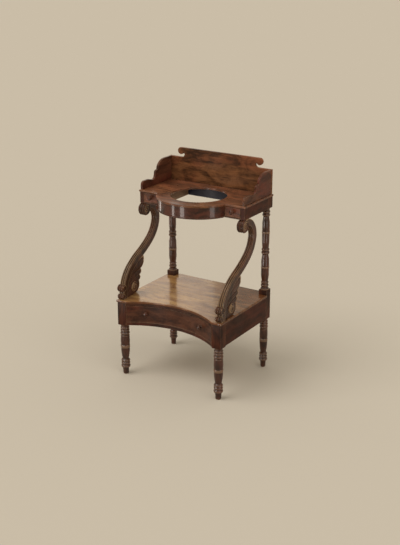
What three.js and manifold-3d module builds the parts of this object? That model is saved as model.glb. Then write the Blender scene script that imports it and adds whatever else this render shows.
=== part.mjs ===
// A mahogany washstand of about 1820. A hollow-fronted base with one long drawer stands on four
// turned feet. Two turned columns at the back and two reeded scroll brackets at the front carry
// a bow-fronted case, which has a basin hole, two small drawers and a shaped splashboard.
// Lengths are in millimetres. X runs to the right, the front faces -Y and +Z is up. The origin
// is on the floor, under the middle of the stand. Left-hand pieces mirror the right-hand ones.
import * as THREE from "three";
import { mergeVertices } from "three/addons/utils/BufferGeometryUtils.js";
import Module from "manifold-3d";

const wasm = await Module();
wasm.setup();

// Driving dimensions
const frame = { width: 500, depth: 408 };
const foot = { height: 226 };
const leg = { size: 40 };
const post = { size: 36, blockAboveShelf: 20 };
const baseRail = { lift: 4, height: 98, thickness: 18 };
const hollow = { depth: 67, topRailHeight: 10, bottomRailHeight: 13, railDepth: 22 };
const shelf = { thickness: 10, overhang: 4, edgeRound: 1.5 };
const upperCase = { height: 47, depth: 231, sideThickness: 19, backThickness: 18, bladeThickness: 6 };
const bow = { radius: 172, centreSetback: 61, thickness: 14 };
const bowTrim = { height: 6, proud: 3, depth: 9, edgeRound: 1.5 };
const partition = { thickness: 12 };
const topBoard = { thickness: 9, overhang: 3, edgeRound: 1.5 };
const basinHole = { radius: 117 };
const gallery = { inset: 5, backThickness: 12, sideThickness: 10, shoulderRise: 103, crestRise: 41 };
const crest = { scrollRadius: 15, coveRadius: 14, neckFromEnd: 76, eyeInset: 3.5 };
const runner = { width: 36, height: 12, guideHeight: 20, guideGap: 1 };
const kicker = { width: 36 };
const tenon = { length: 16, thickness: 9, shoulder: 8 };
const footDowel = { legDepth: 18, bracketDepth: 14, setback: 16 };
const archDowel = { depth: 15, setback: 36 };
const dowel = { radius: 5, endGap: 1 };
const knob = { radius: 9.5, length: 20, shankRadius: 4 };
const drawerWork = { grooveLift: 5, grooveDepth: 4, sideDrop: 4, backDrop: 8, headGap: 1, sideGap: 1.5 };
const cockBead = { width: 2.5, proud: 1.2 };
const longDrawer = { frontThickness: 18, sideThickness: 9, bottomThickness: 6, backClearance: 20 };
const longDrawerKnob = { reach: 135, riseShare: 0.58 };
const smallDrawer = { frontThickness: 12, sideThickness: 7, bottomThickness: 4, backClearance: 33 };
const smallDrawerKnob = { riseShare: 0.55 };

// The scroll bracket: a reeded stem that hangs from a volute under the case and ends on the
// shelf in two small rolls, with a leaf-edged wing behind it.
const bracket = { height: 376, thickness: 26, archSetback: 89 };
const reeding = { stemDepth: 29, depth: 2.5, count: 3 };
const volute = { radius: 27, setback: 10, ringRadius: 15, ringWidth: 3, ringDepth: 1.5 };
const upperRoll = { radius: 16, setback: 15, height: 48 };
const lowerRoll = { radius: 12, setback: 13, height: 11 };
const wing = { thickness: 18, edgeRound: 3, lobeBulge: 9 };
const gouge = { width: 4.5, depth: 1.6 };
const boss = { radius: 21, setback: 92, height: 33, proud: 2, eyeRadius: 8, eyeProud: 4 };

// Clearances
const fit = 0.3; // round tenons, dowels and shanks, in grooves, and under what slides
const overrun = 2; // how far a cutter passes the face that it cuts
const flush = 0.001; // how near to a plane a vertex counts as lying on it

// How finely curves are divided
const division = { turned: 10, knob: 10, roll: 10, volute: 16, pin: 10, stem: 25 };
const curveDivision = { arc: 9, hole: 14, edge: 4, bead: 3, ease: 3, swell: 3, reed: 3 };

// Colours from the painting: aged mahogany in four tones, and pale deal inside the drawers
const tone = { dark: 0x45291f, brown: 0x5e3a28, red: 0x70352a, polished: 0x9c7d5c, deal: 0xa8895f };

// Places that follow from the sizes
const halfWidth = frame.width / 2;
const frontEdge = -(frame.depth + shelf.overhang) / 2;
const frameFront = frontEdge + shelf.overhang;
const frameBack = frameFront + frame.depth;
const legInner = halfWidth - leg.size;
const legBack = frameFront + leg.size;
const postInner = halfWidth - post.size;
const postFront = frameBack - post.size;
const railBottom = foot.height + baseRail.lift;
const shelfBottom = railBottom + baseRail.height;
const shelfTop = shelfBottom + shelf.thickness;
const caseBottom = shelfTop + bracket.height;
const caseTop = caseBottom + upperCase.height;
const topSurface = caseTop + topBoard.thickness;
const caseFront = frameBack - upperCase.depth;
const bowCentre = caseFront + bow.centreSetback;
const hollowRadius = (legInner ** 2 + hollow.depth ** 2) / (2 * hollow.depth);
const hollowCentre = frameFront + hollow.depth - hollowRadius;
const baseRailInner = halfWidth - baseRail.thickness;
const caseSideInner = halfWidth - upperCase.sideThickness;
const caseBackFront = frameBack - upperCase.backThickness;
const partitionOuter = Math.sqrt(bow.radius ** 2 - bow.centreSetback ** 2);
const drawerFloor = railBottom + hollow.bottomRailHeight;
const drawerCeiling = shelfBottom - hollow.topRailHeight;

// Geometry helpers

// A rectangular block between two corners, each given as [low, high] along X, Y and Z.
function block(x, y, z) {
  const geometry = new THREE.BoxGeometry(1, 1, 1);
  const place = geometry.attributes.position;
  for (let i = 0; i < place.count; i += 1) {
    const [right, rear, upper] = [place.getX(i) > 0, place.getY(i) > 0, place.getZ(i) > 0];
    place.setXYZ(i, x[right ? 1 : 0], y[rear ? 1 : 0], z[upper ? 1 : 0]);
  }
  return geometry;
}

// Moves the vertices that lie on the two end planes exactly onto them, so that flat faces meet.
function squareEnds(geometry, axis, low, high) {
  const place = geometry.attributes.position;
  for (let i = 0; i < place.count; i += 1) {
    const along = place.getComponent(i, axis);
    if (Math.abs(along - low) < flush) place.setComponent(i, axis, low);
    if (Math.abs(along - high) < flush) place.setComponent(i, axis, high);
  }
  return geometry;
}

// A board whose outline lies in plan, from one height to another, with its arrises eased.
function planBoard(outline, low, high, steps, edgeRound = 0) {
  const geometry = new THREE.ExtrudeGeometry(outline, {
    depth: high - low - 2 * edgeRound,
    curveSegments: steps,
    bevelEnabled: edgeRound > 0,
    bevelThickness: edgeRound,
    bevelSize: edgeRound,
    bevelOffset: -edgeRound,
    bevelSegments: 1,
  });
  geometry.translate(0, 0, low + edgeRound);
  return squareEnds(geometry, 2, low, high);
}

// A board whose outline is drawn in side view, as (y, z), and which runs from one x to another.
function sideBoard(outline, low, high, steps, edgeRound = 0) {
  const geometry = planBoard(outline, low, high, steps, edgeRound);
  const turn = new THREE.Matrix4().makeBasis(
    new THREE.Vector3(0, 1, 0),
    new THREE.Vector3(0, 0, 1),
    new THREE.Vector3(1, 0, 0),
  );
  return geometry.applyMatrix4(turn);
}

// A board whose outline is drawn in front view, as (x, z), and which runs from one y to another.
function frontBoard(outline, low, high, steps, edgeRound = 0) {
  const geometry = planBoard(outline, -high, -low, steps, edgeRound);
  return squareEnds(geometry.rotateX(Math.PI / 2), 1, low, high);
}

function outlineOf(points) {
  return new THREE.Shape(points.map(([across, up]) => new THREE.Vector2(across, up)));
}

// The solid of a closed geometry, for joining and cutting.
function solid(geometry) {
  const bare = geometry.clone();
  bare.deleteAttribute("normal");
  bare.deleteAttribute("uv");
  const merged = mergeVertices(bare);
  return new wasm.Manifold(
    new wasm.Mesh({
      numProp: 3,
      vertProperties: merged.attributes.position.array,
      triVerts: new Uint32Array(merged.index.array),
    }),
  );
}

function geometryOf(made) {
  const { vertProperties, triVerts } = made.getMesh();
  const geometry = new THREE.BufferGeometry();
  geometry.setAttribute("position", new THREE.BufferAttribute(Float32Array.from(vertProperties), 3));
  geometry.setIndex(new THREE.BufferAttribute(Uint32Array.from(triVerts), 1));
  geometry.computeVertexNormals();
  return geometry;
}

function join(first, ...others) {
  return geometryOf(others.reduce((sum, piece) => sum.add(solid(piece)), solid(first)));
}

function cut(first, ...tools) {
  return geometryOf(tools.reduce((left, tool) => left.subtract(solid(tool)), solid(first)));
}

// An upright round pin, which also serves as the cutter of a hole.
function pin(radius, low, high) {
  const geometry = new THREE.CylinderGeometry(radius, radius, high - low, division.pin);
  return geometry.rotateX(Math.PI / 2).translate(0, 0, (low + high) / 2);
}

// Turned work

// Each row of a turning is where a stretch ends, as a share of the height, its radius there, as
// a share of the largest, and its form: flat is straight, bead is a round ring, ease turns
// smoothly at both ends, and swell turns only at its upper end.
const beadRoundShare = 0.21;
const footShares = [
  [0, 0.52, "flat"],
  [0.014, 0.6, "flat"],
  [0.13, 0.67, "flat"],
  [0.135, 0.86, "flat"],
  [0.188, 0.86, "bead"],
  [0.196, 0.82, "flat"],
  [0.244, 0.84, "bead"],
  [0.252, 0.8, "flat"],
  [0.262, 0.93, "flat"],
  [0.308, 0.68, "bead"],
  [0.53, 0.94, "swell"],
  [0.536, 0.98, "flat"],
  [0.588, 0.98, "flat"],
  [0.594, 0.94, "flat"],
  [0.67, 0.98, "ease"],
  [0.77, 0.94, "ease"],
  [0.795, 0.8, "bead"],
  [0.802, 0.88, "flat"],
  [0.852, 0.9, "bead"],
  [0.86, 0.83, "flat"],
  [0.908, 0.88, "bead"],
  [0.916, 0.82, "flat"],
  [0.956, 0.88, "bead"],
  [0.964, 0.79, "flat"],
  [1, 0.84, "flat"],
];
const columnShares = [
  [0, 0.98, "flat"],
  [0.01, 0.98, "flat"],
  [0.03, 0.82, "ease"],
  [0.036, 0.82, "flat"],
  [0.066, 0.82, "bead"],
  [0.072, 0.77, "flat"],
  [0.1, 0.8, "bead"],
  [0.108, 0.75, "flat"],
  [0.19, 0.93, "swell"],
  [0.262, 0.92, "ease"],
  [0.266, 0.97, "flat"],
  [0.286, 0.97, "flat"],
  [0.29, 0.92, "flat"],
  [0.36, 0.92, "flat"],
  [0.435, 0.75, "ease"],
  [0.441, 0.84, "flat"],
  [0.471, 0.84, "bead"],
  [0.477, 0.78, "flat"],
  [0.507, 0.84, "bead"],
  [0.513, 0.74, "flat"],
  [0.6, 0.87, "swell"],
  [0.69, 0.88, "ease"],
  [0.694, 0.93, "flat"],
  [0.714, 0.93, "flat"],
  [0.718, 0.88, "flat"],
  [0.81, 0.87, "flat"],
  [0.895, 0.71, "ease"],
  [0.901, 0.8, "flat"],
  [0.929, 0.8, "bead"],
  [0.935, 0.74, "flat"],
  [0.965, 0.82, "bead"],
  [0.971, 0.74, "flat"],
  [1, 0.82, "flat"],
];

// How far the radius has changed at a point along a stretch.
const blends = {
  flat: (along) => along,
  bead: (along) => along,
  ease: (along) => (1 - Math.cos(Math.PI * along)) / 2,
  swell: (along) => Math.sin((Math.PI * along) / 2),
};

// The rings and vases of a turning, as a closed profile round the upright axis. A stub at each
// end that meets a block runs into it.
function turning(shares, radius, low, high, stubBelow, stubAbove) {
  const height = high - low;
  let [lowShare, lowRadiusShare] = shares[0];
  const profile = [new THREE.Vector2(0, low - stubBelow)];
  if (stubBelow > 0) profile.push(new THREE.Vector2(radius * lowRadiusShare, low - stubBelow));
  for (const [endShare, endRadiusShare, form] of shares) {
    const rise = (endShare - lowShare) * height;
    const steps = form === "flat" ? 1 : curveDivision[form];
    for (let step = 1; step <= steps; step += 1) {
      const along = step / steps;
      const change = (endRadiusShare - lowRadiusShare) * blends[form](along);
      const plain = radius * (lowRadiusShare + change);
      const bulge = form === "bead" ? Math.sin(Math.PI * along) * rise * beadRoundShare : 0;
      const level = low + lowShare * height + rise * along;
      profile.push(new THREE.Vector2(Math.min(plain + bulge, radius), level));
    }
    [lowShare, lowRadiusShare] = [endShare, endRadiusShare];
  }
  if (stubAbove > 0) profile.push(new THREE.Vector2(radius * lowRadiusShare, high + stubAbove));
  profile.push(new THREE.Vector2(0, high + stubAbove));
  return new THREE.LatheGeometry(profile, division.turned).rotateX(Math.PI / 2);
}

// Joinery: each tenon is a block, and its mortise is that block grown by the clearance.

function grown([low, high]) {
  return [low - fit, high + fit];
}

function mortise(x, y, z) {
  return block(grown(x), grown(y), grown(z));
}

// The lower rails, with the tenons that enter the legs and posts.
const railTenonHeight = [railBottom + tenon.shoulder, shelfBottom - tenon.shoulder];
const sideTenonAcross = [
  halfWidth - (baseRail.thickness + tenon.thickness) / 2,
  halfWidth - (baseRail.thickness - tenon.thickness) / 2,
];
const backTenonDepth = [
  frameBack - (baseRail.thickness + tenon.thickness) / 2,
  frameBack - (baseRail.thickness - tenon.thickness) / 2,
];
const caseTenonHeight = [caseBottom + tenon.shoulder, caseTop - tenon.shoulder];
const caseSideTenonAcross = [
  halfWidth - (upperCase.sideThickness + tenon.thickness) / 2,
  halfWidth - (upperCase.sideThickness - tenon.thickness) / 2,
];
const caseBackTenonDepth = [
  frameBack - (upperCase.backThickness + tenon.thickness) / 2,
  frameBack - (upperCase.backThickness - tenon.thickness) / 2,
];
const frontTenonDepth = [frameFront + tenon.shoulder, frameFront + tenon.shoulder + tenon.thickness];
const frontTopTenonHeight = [drawerCeiling, shelfBottom - fit];
const frontBottomTenonHeight = [railBottom + fit, drawerFloor];
const frontTenonAcross = [legInner, legInner + tenon.length];
const postTenonAcross = [postInner, postInner + tenon.length];
const legTenonDepth = [legBack - tenon.length, legBack];
const postTenonDepth = [postFront, postFront + tenon.length];

// A dowel pins the foot of each bracket through the shelf to the leg, and one its arch to the case.
const bracketX = halfWidth - bracket.thickness / 2;
const footDowelY = frameFront + footDowel.setback;
const archDowelY = caseFront + archDowel.setback;

function dowelHole(x, y, low, high) {
  return pin(dowel.radius + fit, low, high).translate(x, y, 0);
}

function frontLeg() {
  const half = leg.size / 2;
  const turned = turning(footShares, half, 0, foot.height, 0, overrun);
  const square = block([-half, half], [-half, half], [foot.height, shelfBottom]);
  const x = legInner + half;
  const y = frameFront + half;
  const cutters = [
    mortise(sideTenonAcross, legTenonDepth, railTenonHeight),
    mortise(frontTenonAcross, frontTenonDepth, frontTopTenonHeight),
    mortise(frontTenonAcross, frontTenonDepth, frontBottomTenonHeight),
    dowelHole(bracketX, footDowelY, shelfBottom - footDowel.legDepth - dowel.endGap, shelfBottom + overrun),
  ].map((tool) => tool.translate(-x, -y, 0));
  return cut(join(turned, square), ...cutters);
}

function rearPost() {
  const half = post.size / 2;
  const square = (low, high) => block([-half, half], [-half, half], [low, high]);
  const blockTop = shelfTop + post.blockAboveShelf;
  const body = join(
    turning(footShares, half, 0, foot.height, 0, overrun),
    square(foot.height, blockTop),
    turning(columnShares, half, blockTop, caseBottom, overrun, overrun),
    square(caseBottom, caseTop),
  );
  const x = postInner + half;
  const y = postFront + half;
  const cutters = [
    mortise(sideTenonAcross, postTenonDepth, railTenonHeight),
    mortise(postTenonAcross, backTenonDepth, railTenonHeight),
    mortise(caseSideTenonAcross, postTenonDepth, caseTenonHeight),
    mortise(postTenonAcross, caseBackTenonDepth, caseTenonHeight),
  ].map((tool) => tool.translate(-x, -y, 0));
  return cut(body, ...cutters);
}

function lowerSideRail() {
  const tenonDepth = [legTenonDepth[0], postTenonDepth[1]];
  return join(
    block([baseRailInner, halfWidth], [legBack, postFront], [railBottom, shelfBottom]),
    block(sideTenonAcross, tenonDepth, railTenonHeight),
  );
}

function lowerBackRail() {
  const across = [-postTenonAcross[1], postTenonAcross[1]];
  return join(
    block([-postInner, postInner], [frameBack - baseRail.thickness, frameBack], [railBottom, shelfBottom]),
    block(across, backTenonDepth, railTenonHeight),
  );
}

// A strip in plan between two arcs about one centre, hollow towards the front and cut off square
// to X at each end.
function hollowStrip(centreY, frontRadius, backRadius, halfSpan) {
  const frontTurn = Math.asin(halfSpan / frontRadius);
  const backTurn = Math.asin(halfSpan / backRadius);
  const strip = new THREE.Shape();
  strip.absarc(0, centreY, frontRadius, Math.PI / 2 + frontTurn, Math.PI / 2 - frontTurn, true);
  strip.absarc(0, centreY, backRadius, Math.PI / 2 - backTurn, Math.PI / 2 + backTurn, false);
  return strip;
}

function lowerFrontRail(low, high, tenonHeight) {
  const strip = hollowStrip(hollowCentre, hollowRadius, hollowRadius + hollow.railDepth, legInner);
  const rail = planBoard(strip, low, high, curveDivision.arc);
  const tenons = [-1, 1].map((side) => {
    const ends = [side * frontTenonAcross[1], side * (legInner - tenon.shoulder)];
    return block([Math.min(...ends), Math.max(...ends)], frontTenonDepth, tenonHeight);
  });
  return join(rail, ...tenons);
}

// The shelf covers the front legs, follows the hollow front, and is notched round the posts.
function shelfBoard() {
  const edge = halfWidth + shelf.overhang;
  const radius = hollowRadius - shelf.overhang;
  const turn = Math.acos((frontEdge - hollowCentre) / radius);
  const notchX = postInner - fit;
  const notchY = postFront - fit;
  const outline = new THREE.Shape();
  outline.moveTo(-edge, notchY);
  outline.lineTo(-edge, frontEdge);
  outline.absarc(0, hollowCentre, radius, Math.PI / 2 + turn, Math.PI / 2 - turn, true);
  outline.lineTo(edge, frontEdge);
  outline.lineTo(edge, notchY);
  outline.lineTo(notchX, notchY);
  outline.lineTo(notchX, frameBack);
  outline.lineTo(-notchX, frameBack);
  outline.lineTo(-notchX, notchY);
  const board = planBoard(outline, shelfBottom, shelfTop, curveDivision.arc, shelf.edgeRound);
  const holes = [-1, 1].map((side) =>
    dowelHole(side * bracketX, footDowelY, shelfBottom - overrun, shelfTop + overrun),
  );
  return cut(board, ...holes);
}

// The long drawer runs on strips inside the side rails, with a guide beside it and a kicker above.
function drawerRunner() {
  const guideInner = legInner - drawerWork.sideGap + runner.guideGap;
  const inner = baseRailInner - runner.width;
  const section = outlineOf([
    [inner, drawerFloor - runner.height],
    [baseRailInner, drawerFloor - runner.height],
    [baseRailInner, drawerFloor + runner.guideHeight],
    [guideInner, drawerFloor + runner.guideHeight],
    [guideInner, drawerFloor],
    [inner, drawerFloor],
  ]);
  return frontBoard(section, legBack, postFront, curveDivision.arc);
}

function drawerKicker() {
  const across = [baseRailInner - kicker.width, baseRailInner];
  return block(across, [legBack, postFront], [drawerCeiling, shelfBottom]);
}

// The scroll bracket

// The middle line of the stem, from the volute to the shelf. The first share is of the way from
// the front of the frame to the hindmost point of the arch, the second of the height, up to the
// level where the stem just touches the case.
const stemShares = [
  [0.707, 1.004],
  [0.812, 0.996],
  [0.91, 0.957],
  [0.985, 0.874],
  [1, 0.802],
  [0.955, 0.697],
  [0.853, 0.603],
  [0.654, 0.501],
  [0.429, 0.415],
  [0.233, 0.307],
  [0.128, 0.183],
  [0.083, -0.01],
];
// Where the lobes of the wing's leaf edge meet, from the stem down to the shelf.
const lobeNotchShares = [
  [0.632, 0.415],
  [0.549, 0.271],
  [0.511, 0.205],
  [0.496, 0.138],
  [0.414, 0],
];
// The hollows gouged into the leaf: where each starts, the point it bends towards and its end.
const gougeShares = [
  [
    [0.6, 0.36],
    [0.31, 0.27],
    [0.215, 0.06],
  ],
  [
    [0.53, 0.25],
    [0.33, 0.25],
    [0.25, 0.12],
  ],
  [
    [0.5, 0.18],
    [0.42, 0.21],
    [0.32, 0.17],
  ],
];
// Where the wing's edge runs inside the stem, as shares of the middle line's length.
const foldShares = [0.985, 0.92, 0.85, 0.78, 0.7, 0.63];
const stemReach = caseFront + bracket.archSetback - frameFront;
const stemRise = bracket.height - reeding.stemDepth / 2;

function bracketPoint([reachShare, riseShare]) {
  return new THREE.Vector3(0, frameFront + reachShare * stemReach, shelfTop + riseShare * stemRise);
}

const stemLine = new THREE.CatmullRomCurve3(stemShares.map(bracketPoint), false, "centripetal");

// The stem's section, as (across, towards the front): reeds on the front, eased arrises behind.
function stemSection() {
  const half = bracket.thickness / 2;
  const valley = reeding.stemDepth / 2 - reeding.depth;
  const back = -reeding.stemDepth / 2;
  const points = [];
  const steps = reeding.count * curveDivision.reed;
  for (let step = 0; step <= steps; step += 1) {
    const lift = Math.abs(Math.sin((Math.PI * step) / curveDivision.reed));
    points.push([half - (step / steps) * bracket.thickness, valley + reeding.depth * lift]);
  }
  points.push([-half, back + reeding.depth]);
  points.push([-half + reeding.depth, back]);
  points.push([half - reeding.depth, back]);
  points.push([half, back + reeding.depth]);
  return points;
}

// Carries the section along the middle line and closes both ends.
function stem() {
  const section = stemSection();
  const size = section.length;
  const places = [];
  const faces = [];
  for (let station = 0; station <= division.stem; station += 1) {
    const centre = stemLine.getPointAt(station / division.stem);
    const along = stemLine.getTangentAt(station / division.stem);
    for (const [across, forward] of section) {
      places.push(across, centre.y + along.z * forward, centre.z - along.y * forward);
    }
  }
  for (let station = 0; station < division.stem; station += 1) {
    for (let i = 0; i < size; i += 1) {
      const here = station * size + i;
      const beside = station * size + ((i + 1) % size);
      faces.push(here, beside, beside + size, here, beside + size, here + size);
    }
  }
  const cap = THREE.ShapeUtils.triangulateShape(section.map(([a, b]) => new THREE.Vector2(a, b)), []);
  const last = division.stem * size;
  for (const [a, b, c] of cap) {
    faces.push(a, c, b);
    faces.push(last + a, last + b, last + c);
  }
  const geometry = new THREE.BufferGeometry();
  geometry.setAttribute("position", new THREE.Float32BufferAttribute(places, 3));
  geometry.setIndex(faces);
  return geometry;
}

// A disc across the bracket whose rim carries the same reeds. Its ends can have a sunk ring, as
// places of (radius, depth) from the inside out.
function reededRoll(radius, sides, y, z, ring = []) {
  const half = bracket.thickness / 2;
  const steps = reeding.count * curveDivision.reed;
  const profile = [new THREE.Vector2(0, -half)];
  for (const [wide, depth] of ring) profile.push(new THREE.Vector2(wide, depth - half));
  for (let step = 0; step <= steps; step += 1) {
    const lift = Math.abs(Math.sin((Math.PI * step) / curveDivision.reed));
    const wide = radius - reeding.depth * (1 - lift);
    profile.push(new THREE.Vector2(wide, -half + (step / steps) * bracket.thickness));
  }
  for (const [wide, depth] of ring.toReversed()) profile.push(new THREE.Vector2(wide, half - depth));
  profile.push(new THREE.Vector2(0, half));
  return new THREE.LatheGeometry(profile, sides).rotateZ(-Math.PI / 2).translate(0, y, z);
}

// The wing: each lobe of the leaf bulges between two notches, and the edge by the stem is hidden
// inside it.
function wingBoard() {
  const notches = lobeNotchShares.map(bracketPoint);
  const outline = new THREE.Shape();
  outline.moveTo(notches[0].y, notches[0].z);
  for (let i = 1; i < notches.length; i += 1) {
    const { y, z } = notches[i];
    const chord = notches[i].clone().sub(notches[i - 1]);
    const middle = notches[i].clone().add(notches[i - 1]).divideScalar(2);
    const swell = Math.min(2 * wing.lobeBulge, chord.length() / 2) / chord.length();
    outline.quadraticCurveTo(middle.y - chord.z * swell, middle.z + chord.y * swell, y, z);
  }
  for (const share of foldShares) {
    const inside = stemLine.getPointAt(share);
    outline.lineTo(inside.y, Math.max(inside.z, shelfTop));
  }
  const half = wing.thickness / 2;
  return cut(sideBoard(outline, -half, half, curveDivision.edge, wing.edgeRound), ...gouges());
}

// The cutters of the hollows in both faces: thin crescents, widest in the middle.
function gouges() {
  const outer = wing.thickness / 2 + overrun;
  const inner = wing.thickness / 2 - gouge.depth;
  return gougeShares.flatMap((course) => {
    const [start, bend, end] = course.map(bracketPoint);
    const chord = end.clone().sub(start).setLength(gouge.width);
    const outline = new THREE.Shape();
    outline.moveTo(start.y, start.z);
    outline.quadraticCurveTo(bend.y - chord.z, bend.z + chord.y, end.y, end.z);
    outline.quadraticCurveTo(bend.y + chord.z, bend.z - chord.y, start.y, start.z);
    return [
      sideBoard(outline, inner, outer, curveDivision.edge),
      sideBoard(outline, -outer, -inner, curveDivision.edge),
    ];
  });
}

// A low round boss on both faces of the wing, with a smaller eye: the leaf's rolled end.
function wingBoss() {
  const y = frameFront + boss.setback;
  const z = shelfTop + boss.height;
  const disc = (radius, proud) => {
    const width = wing.thickness + 2 * proud;
    const upright = new THREE.CylinderGeometry(radius, radius, width, division.roll);
    return upright.rotateZ(Math.PI / 2).translate(0, y, z);
  };
  return join(disc(boss.radius, boss.proud), disc(boss.eyeRadius, boss.eyeProud));
}

function footRoll(roll) {
  return reededRoll(roll.radius, division.roll, frameFront + roll.setback, shelfTop + roll.height);
}

// The volute under the case, with a ring sunk into each end round its eye.
function voluteRoll() {
  const inside = volute.ringRadius - volute.ringWidth;
  const ring = [
    [inside, 0],
    [inside, volute.ringDepth],
    [volute.ringRadius, volute.ringDepth],
    [volute.ringRadius, 0],
  ];
  const height = caseBottom - volute.radius;
  return reededRoll(volute.radius, division.volute, caseFront + volute.setback, height, ring);
}

function scrollBracket() {
  const half = bracket.thickness;
  const body = join(
    stem(),
    voluteRoll(),
    footRoll(upperRoll),
    footRoll(lowerRoll),
    wingBoard(),
    wingBoss(),
  );
  const side = [-half, half];
  const depth = [frontEdge - volute.radius, frameBack];
  return cut(
    body,
    block(side, depth, [shelfTop - bracket.height, shelfTop]),
    block(side, depth, [caseBottom, caseBottom + bracket.height]),
    dowelHole(0, footDowelY, shelfTop - overrun, shelfTop + footDowel.bracketDepth + dowel.endGap),
    dowelHole(0, archDowelY, caseBottom - archDowel.depth - dowel.endGap, caseBottom + overrun),
  );
}

// The upper case

function upperSide() {
  const side = join(
    block([caseSideInner, halfWidth], [caseFront, postFront], [caseBottom, caseTop]),
    block(caseSideTenonAcross, [postFront - tenon.shoulder, postTenonDepth[1]], caseTenonHeight),
  );
  const holeTop = caseBottom + archDowel.depth + dowel.endGap;
  return cut(side, dowelHole(bracketX, archDowelY, caseBottom - overrun, holeTop));
}

function upperBackRail() {
  const across = [-postTenonAcross[1], postTenonAcross[1]];
  return join(
    block([-postInner, postInner], [caseBackFront, frameBack], [caseBottom, caseTop]),
    block(across, caseBackTenonDepth, caseTenonHeight),
  );
}

// A strip in plan that follows the bow and is cut off on the line at endY.
function bowStrip(outerRadius, innerRadius, endY) {
  const outerTurn = Math.acos((bowCentre - endY) / outerRadius);
  const innerTurn = Math.acos((bowCentre - endY) / innerRadius);
  const strip = new THREE.Shape();
  strip.absarc(0, bowCentre, outerRadius, -Math.PI / 2 - outerTurn, -Math.PI / 2 + outerTurn, false);
  strip.absarc(0, bowCentre, innerRadius, -Math.PI / 2 + innerTurn, -Math.PI / 2 - innerTurn, true);
  return strip;
}

function bowApron() {
  const strip = bowStrip(bow.radius, bow.radius - bow.thickness, caseFront);
  return planBoard(strip, caseBottom + bowTrim.height, caseTop, curveDivision.arc);
}

// The bead under the apron stands proud of it and stops short of the small drawers.
function bowBead() {
  const outer = bow.radius + bowTrim.proud;
  const endY = bowCentre - Math.sqrt(outer ** 2 - partitionOuter ** 2);
  const strip = bowStrip(outer, bow.radius - bowTrim.depth, endY);
  return planBoard(strip, caseBottom, caseBottom + bowTrim.height, curveDivision.arc, bowTrim.edgeRound);
}

function casePartition() {
  return block(
    [partitionOuter - partition.thickness, partitionOuter],
    [caseFront, caseBackFront],
    [caseBottom, caseTop],
  );
}

function dustBoard() {
  const across = [partitionOuter, caseSideInner];
  return block(across, [caseFront, postFront], [caseBottom, caseBottom + upperCase.bladeThickness]);
}

function topPlate() {
  const edge = halfWidth + topBoard.overhang;
  const front = caseFront - topBoard.overhang;
  const radius = bow.radius + topBoard.overhang;
  const turn = Math.acos((bowCentre - front) / radius);
  const outline = new THREE.Shape();
  outline.moveTo(-edge, frameBack);
  outline.lineTo(-edge, front);
  outline.absarc(0, bowCentre, radius, -Math.PI / 2 - turn, -Math.PI / 2 + turn, false);
  outline.lineTo(edge, front);
  outline.lineTo(edge, frameBack);
  const hole = new THREE.Path();
  hole.absarc(0, bowCentre, basinHole.radius, 0, 2 * Math.PI, true);
  outline.holes.push(hole);
  return planBoard(outline, caseTop, topSurface, curveDivision.hole, topBoard.edgeRound);
}

// The splashboard

const galleryOuter = halfWidth + topBoard.overhang - gallery.inset;
const galleryBackFront = frameBack - gallery.backThickness;
const shoulder = topSurface + gallery.shoulderRise;
const crestTop = shoulder + gallery.crestRise;

// Each end of the raised crest rolls outwards into a scroll, over a cove.
function splashBack() {
  const eyeX = galleryOuter - crest.neckFromEnd + crest.scrollRadius + crest.eyeInset;
  const eyeZ = crestTop - crest.scrollRadius;
  const coveX = galleryOuter - crest.neckFromEnd + crest.coveRadius;
  const outline = new THREE.Shape();
  outline.moveTo(-galleryOuter, topSurface);
  outline.lineTo(galleryOuter, topSurface);
  outline.lineTo(galleryOuter, shoulder);
  outline.absarc(coveX, shoulder + crest.coveRadius, crest.coveRadius, -Math.PI / 2, -Math.PI, true);
  outline.absarc(eyeX, eyeZ, crest.scrollRadius, (-5 * Math.PI) / 6, Math.PI / 2, false);
  outline.absarc(-eyeX, eyeZ, crest.scrollRadius, Math.PI / 2, (11 * Math.PI) / 6, false);
  outline.absarc(-coveX, shoulder + crest.coveRadius, crest.coveRadius, 0, -Math.PI / 2, true);
  outline.lineTo(-galleryOuter, shoulder);
  return frontBoard(outline, galleryBackFront, frameBack, curveDivision.edge);
}

// The side steps down from the shoulder in a round, a small ovolo and a cove, and ends in a
// rounded nose. Widths run forwards and heights up from the board.
const sideProfile = {
  noseInset: 2,
  noseWidth: 16,
  noseHeight: 18,
  humpRise: 35,
  humpWidth: 22,
  sweepWidth: 44,
  valleyWidth: 26,
  valleyRise: 28,
  coveWidth: 15,
  coveHeight: 24,
  ovoloWidth: 12,
  ovoloHeight: 11,
  fillet: 6,
  roundWidth: 56,
};

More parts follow.
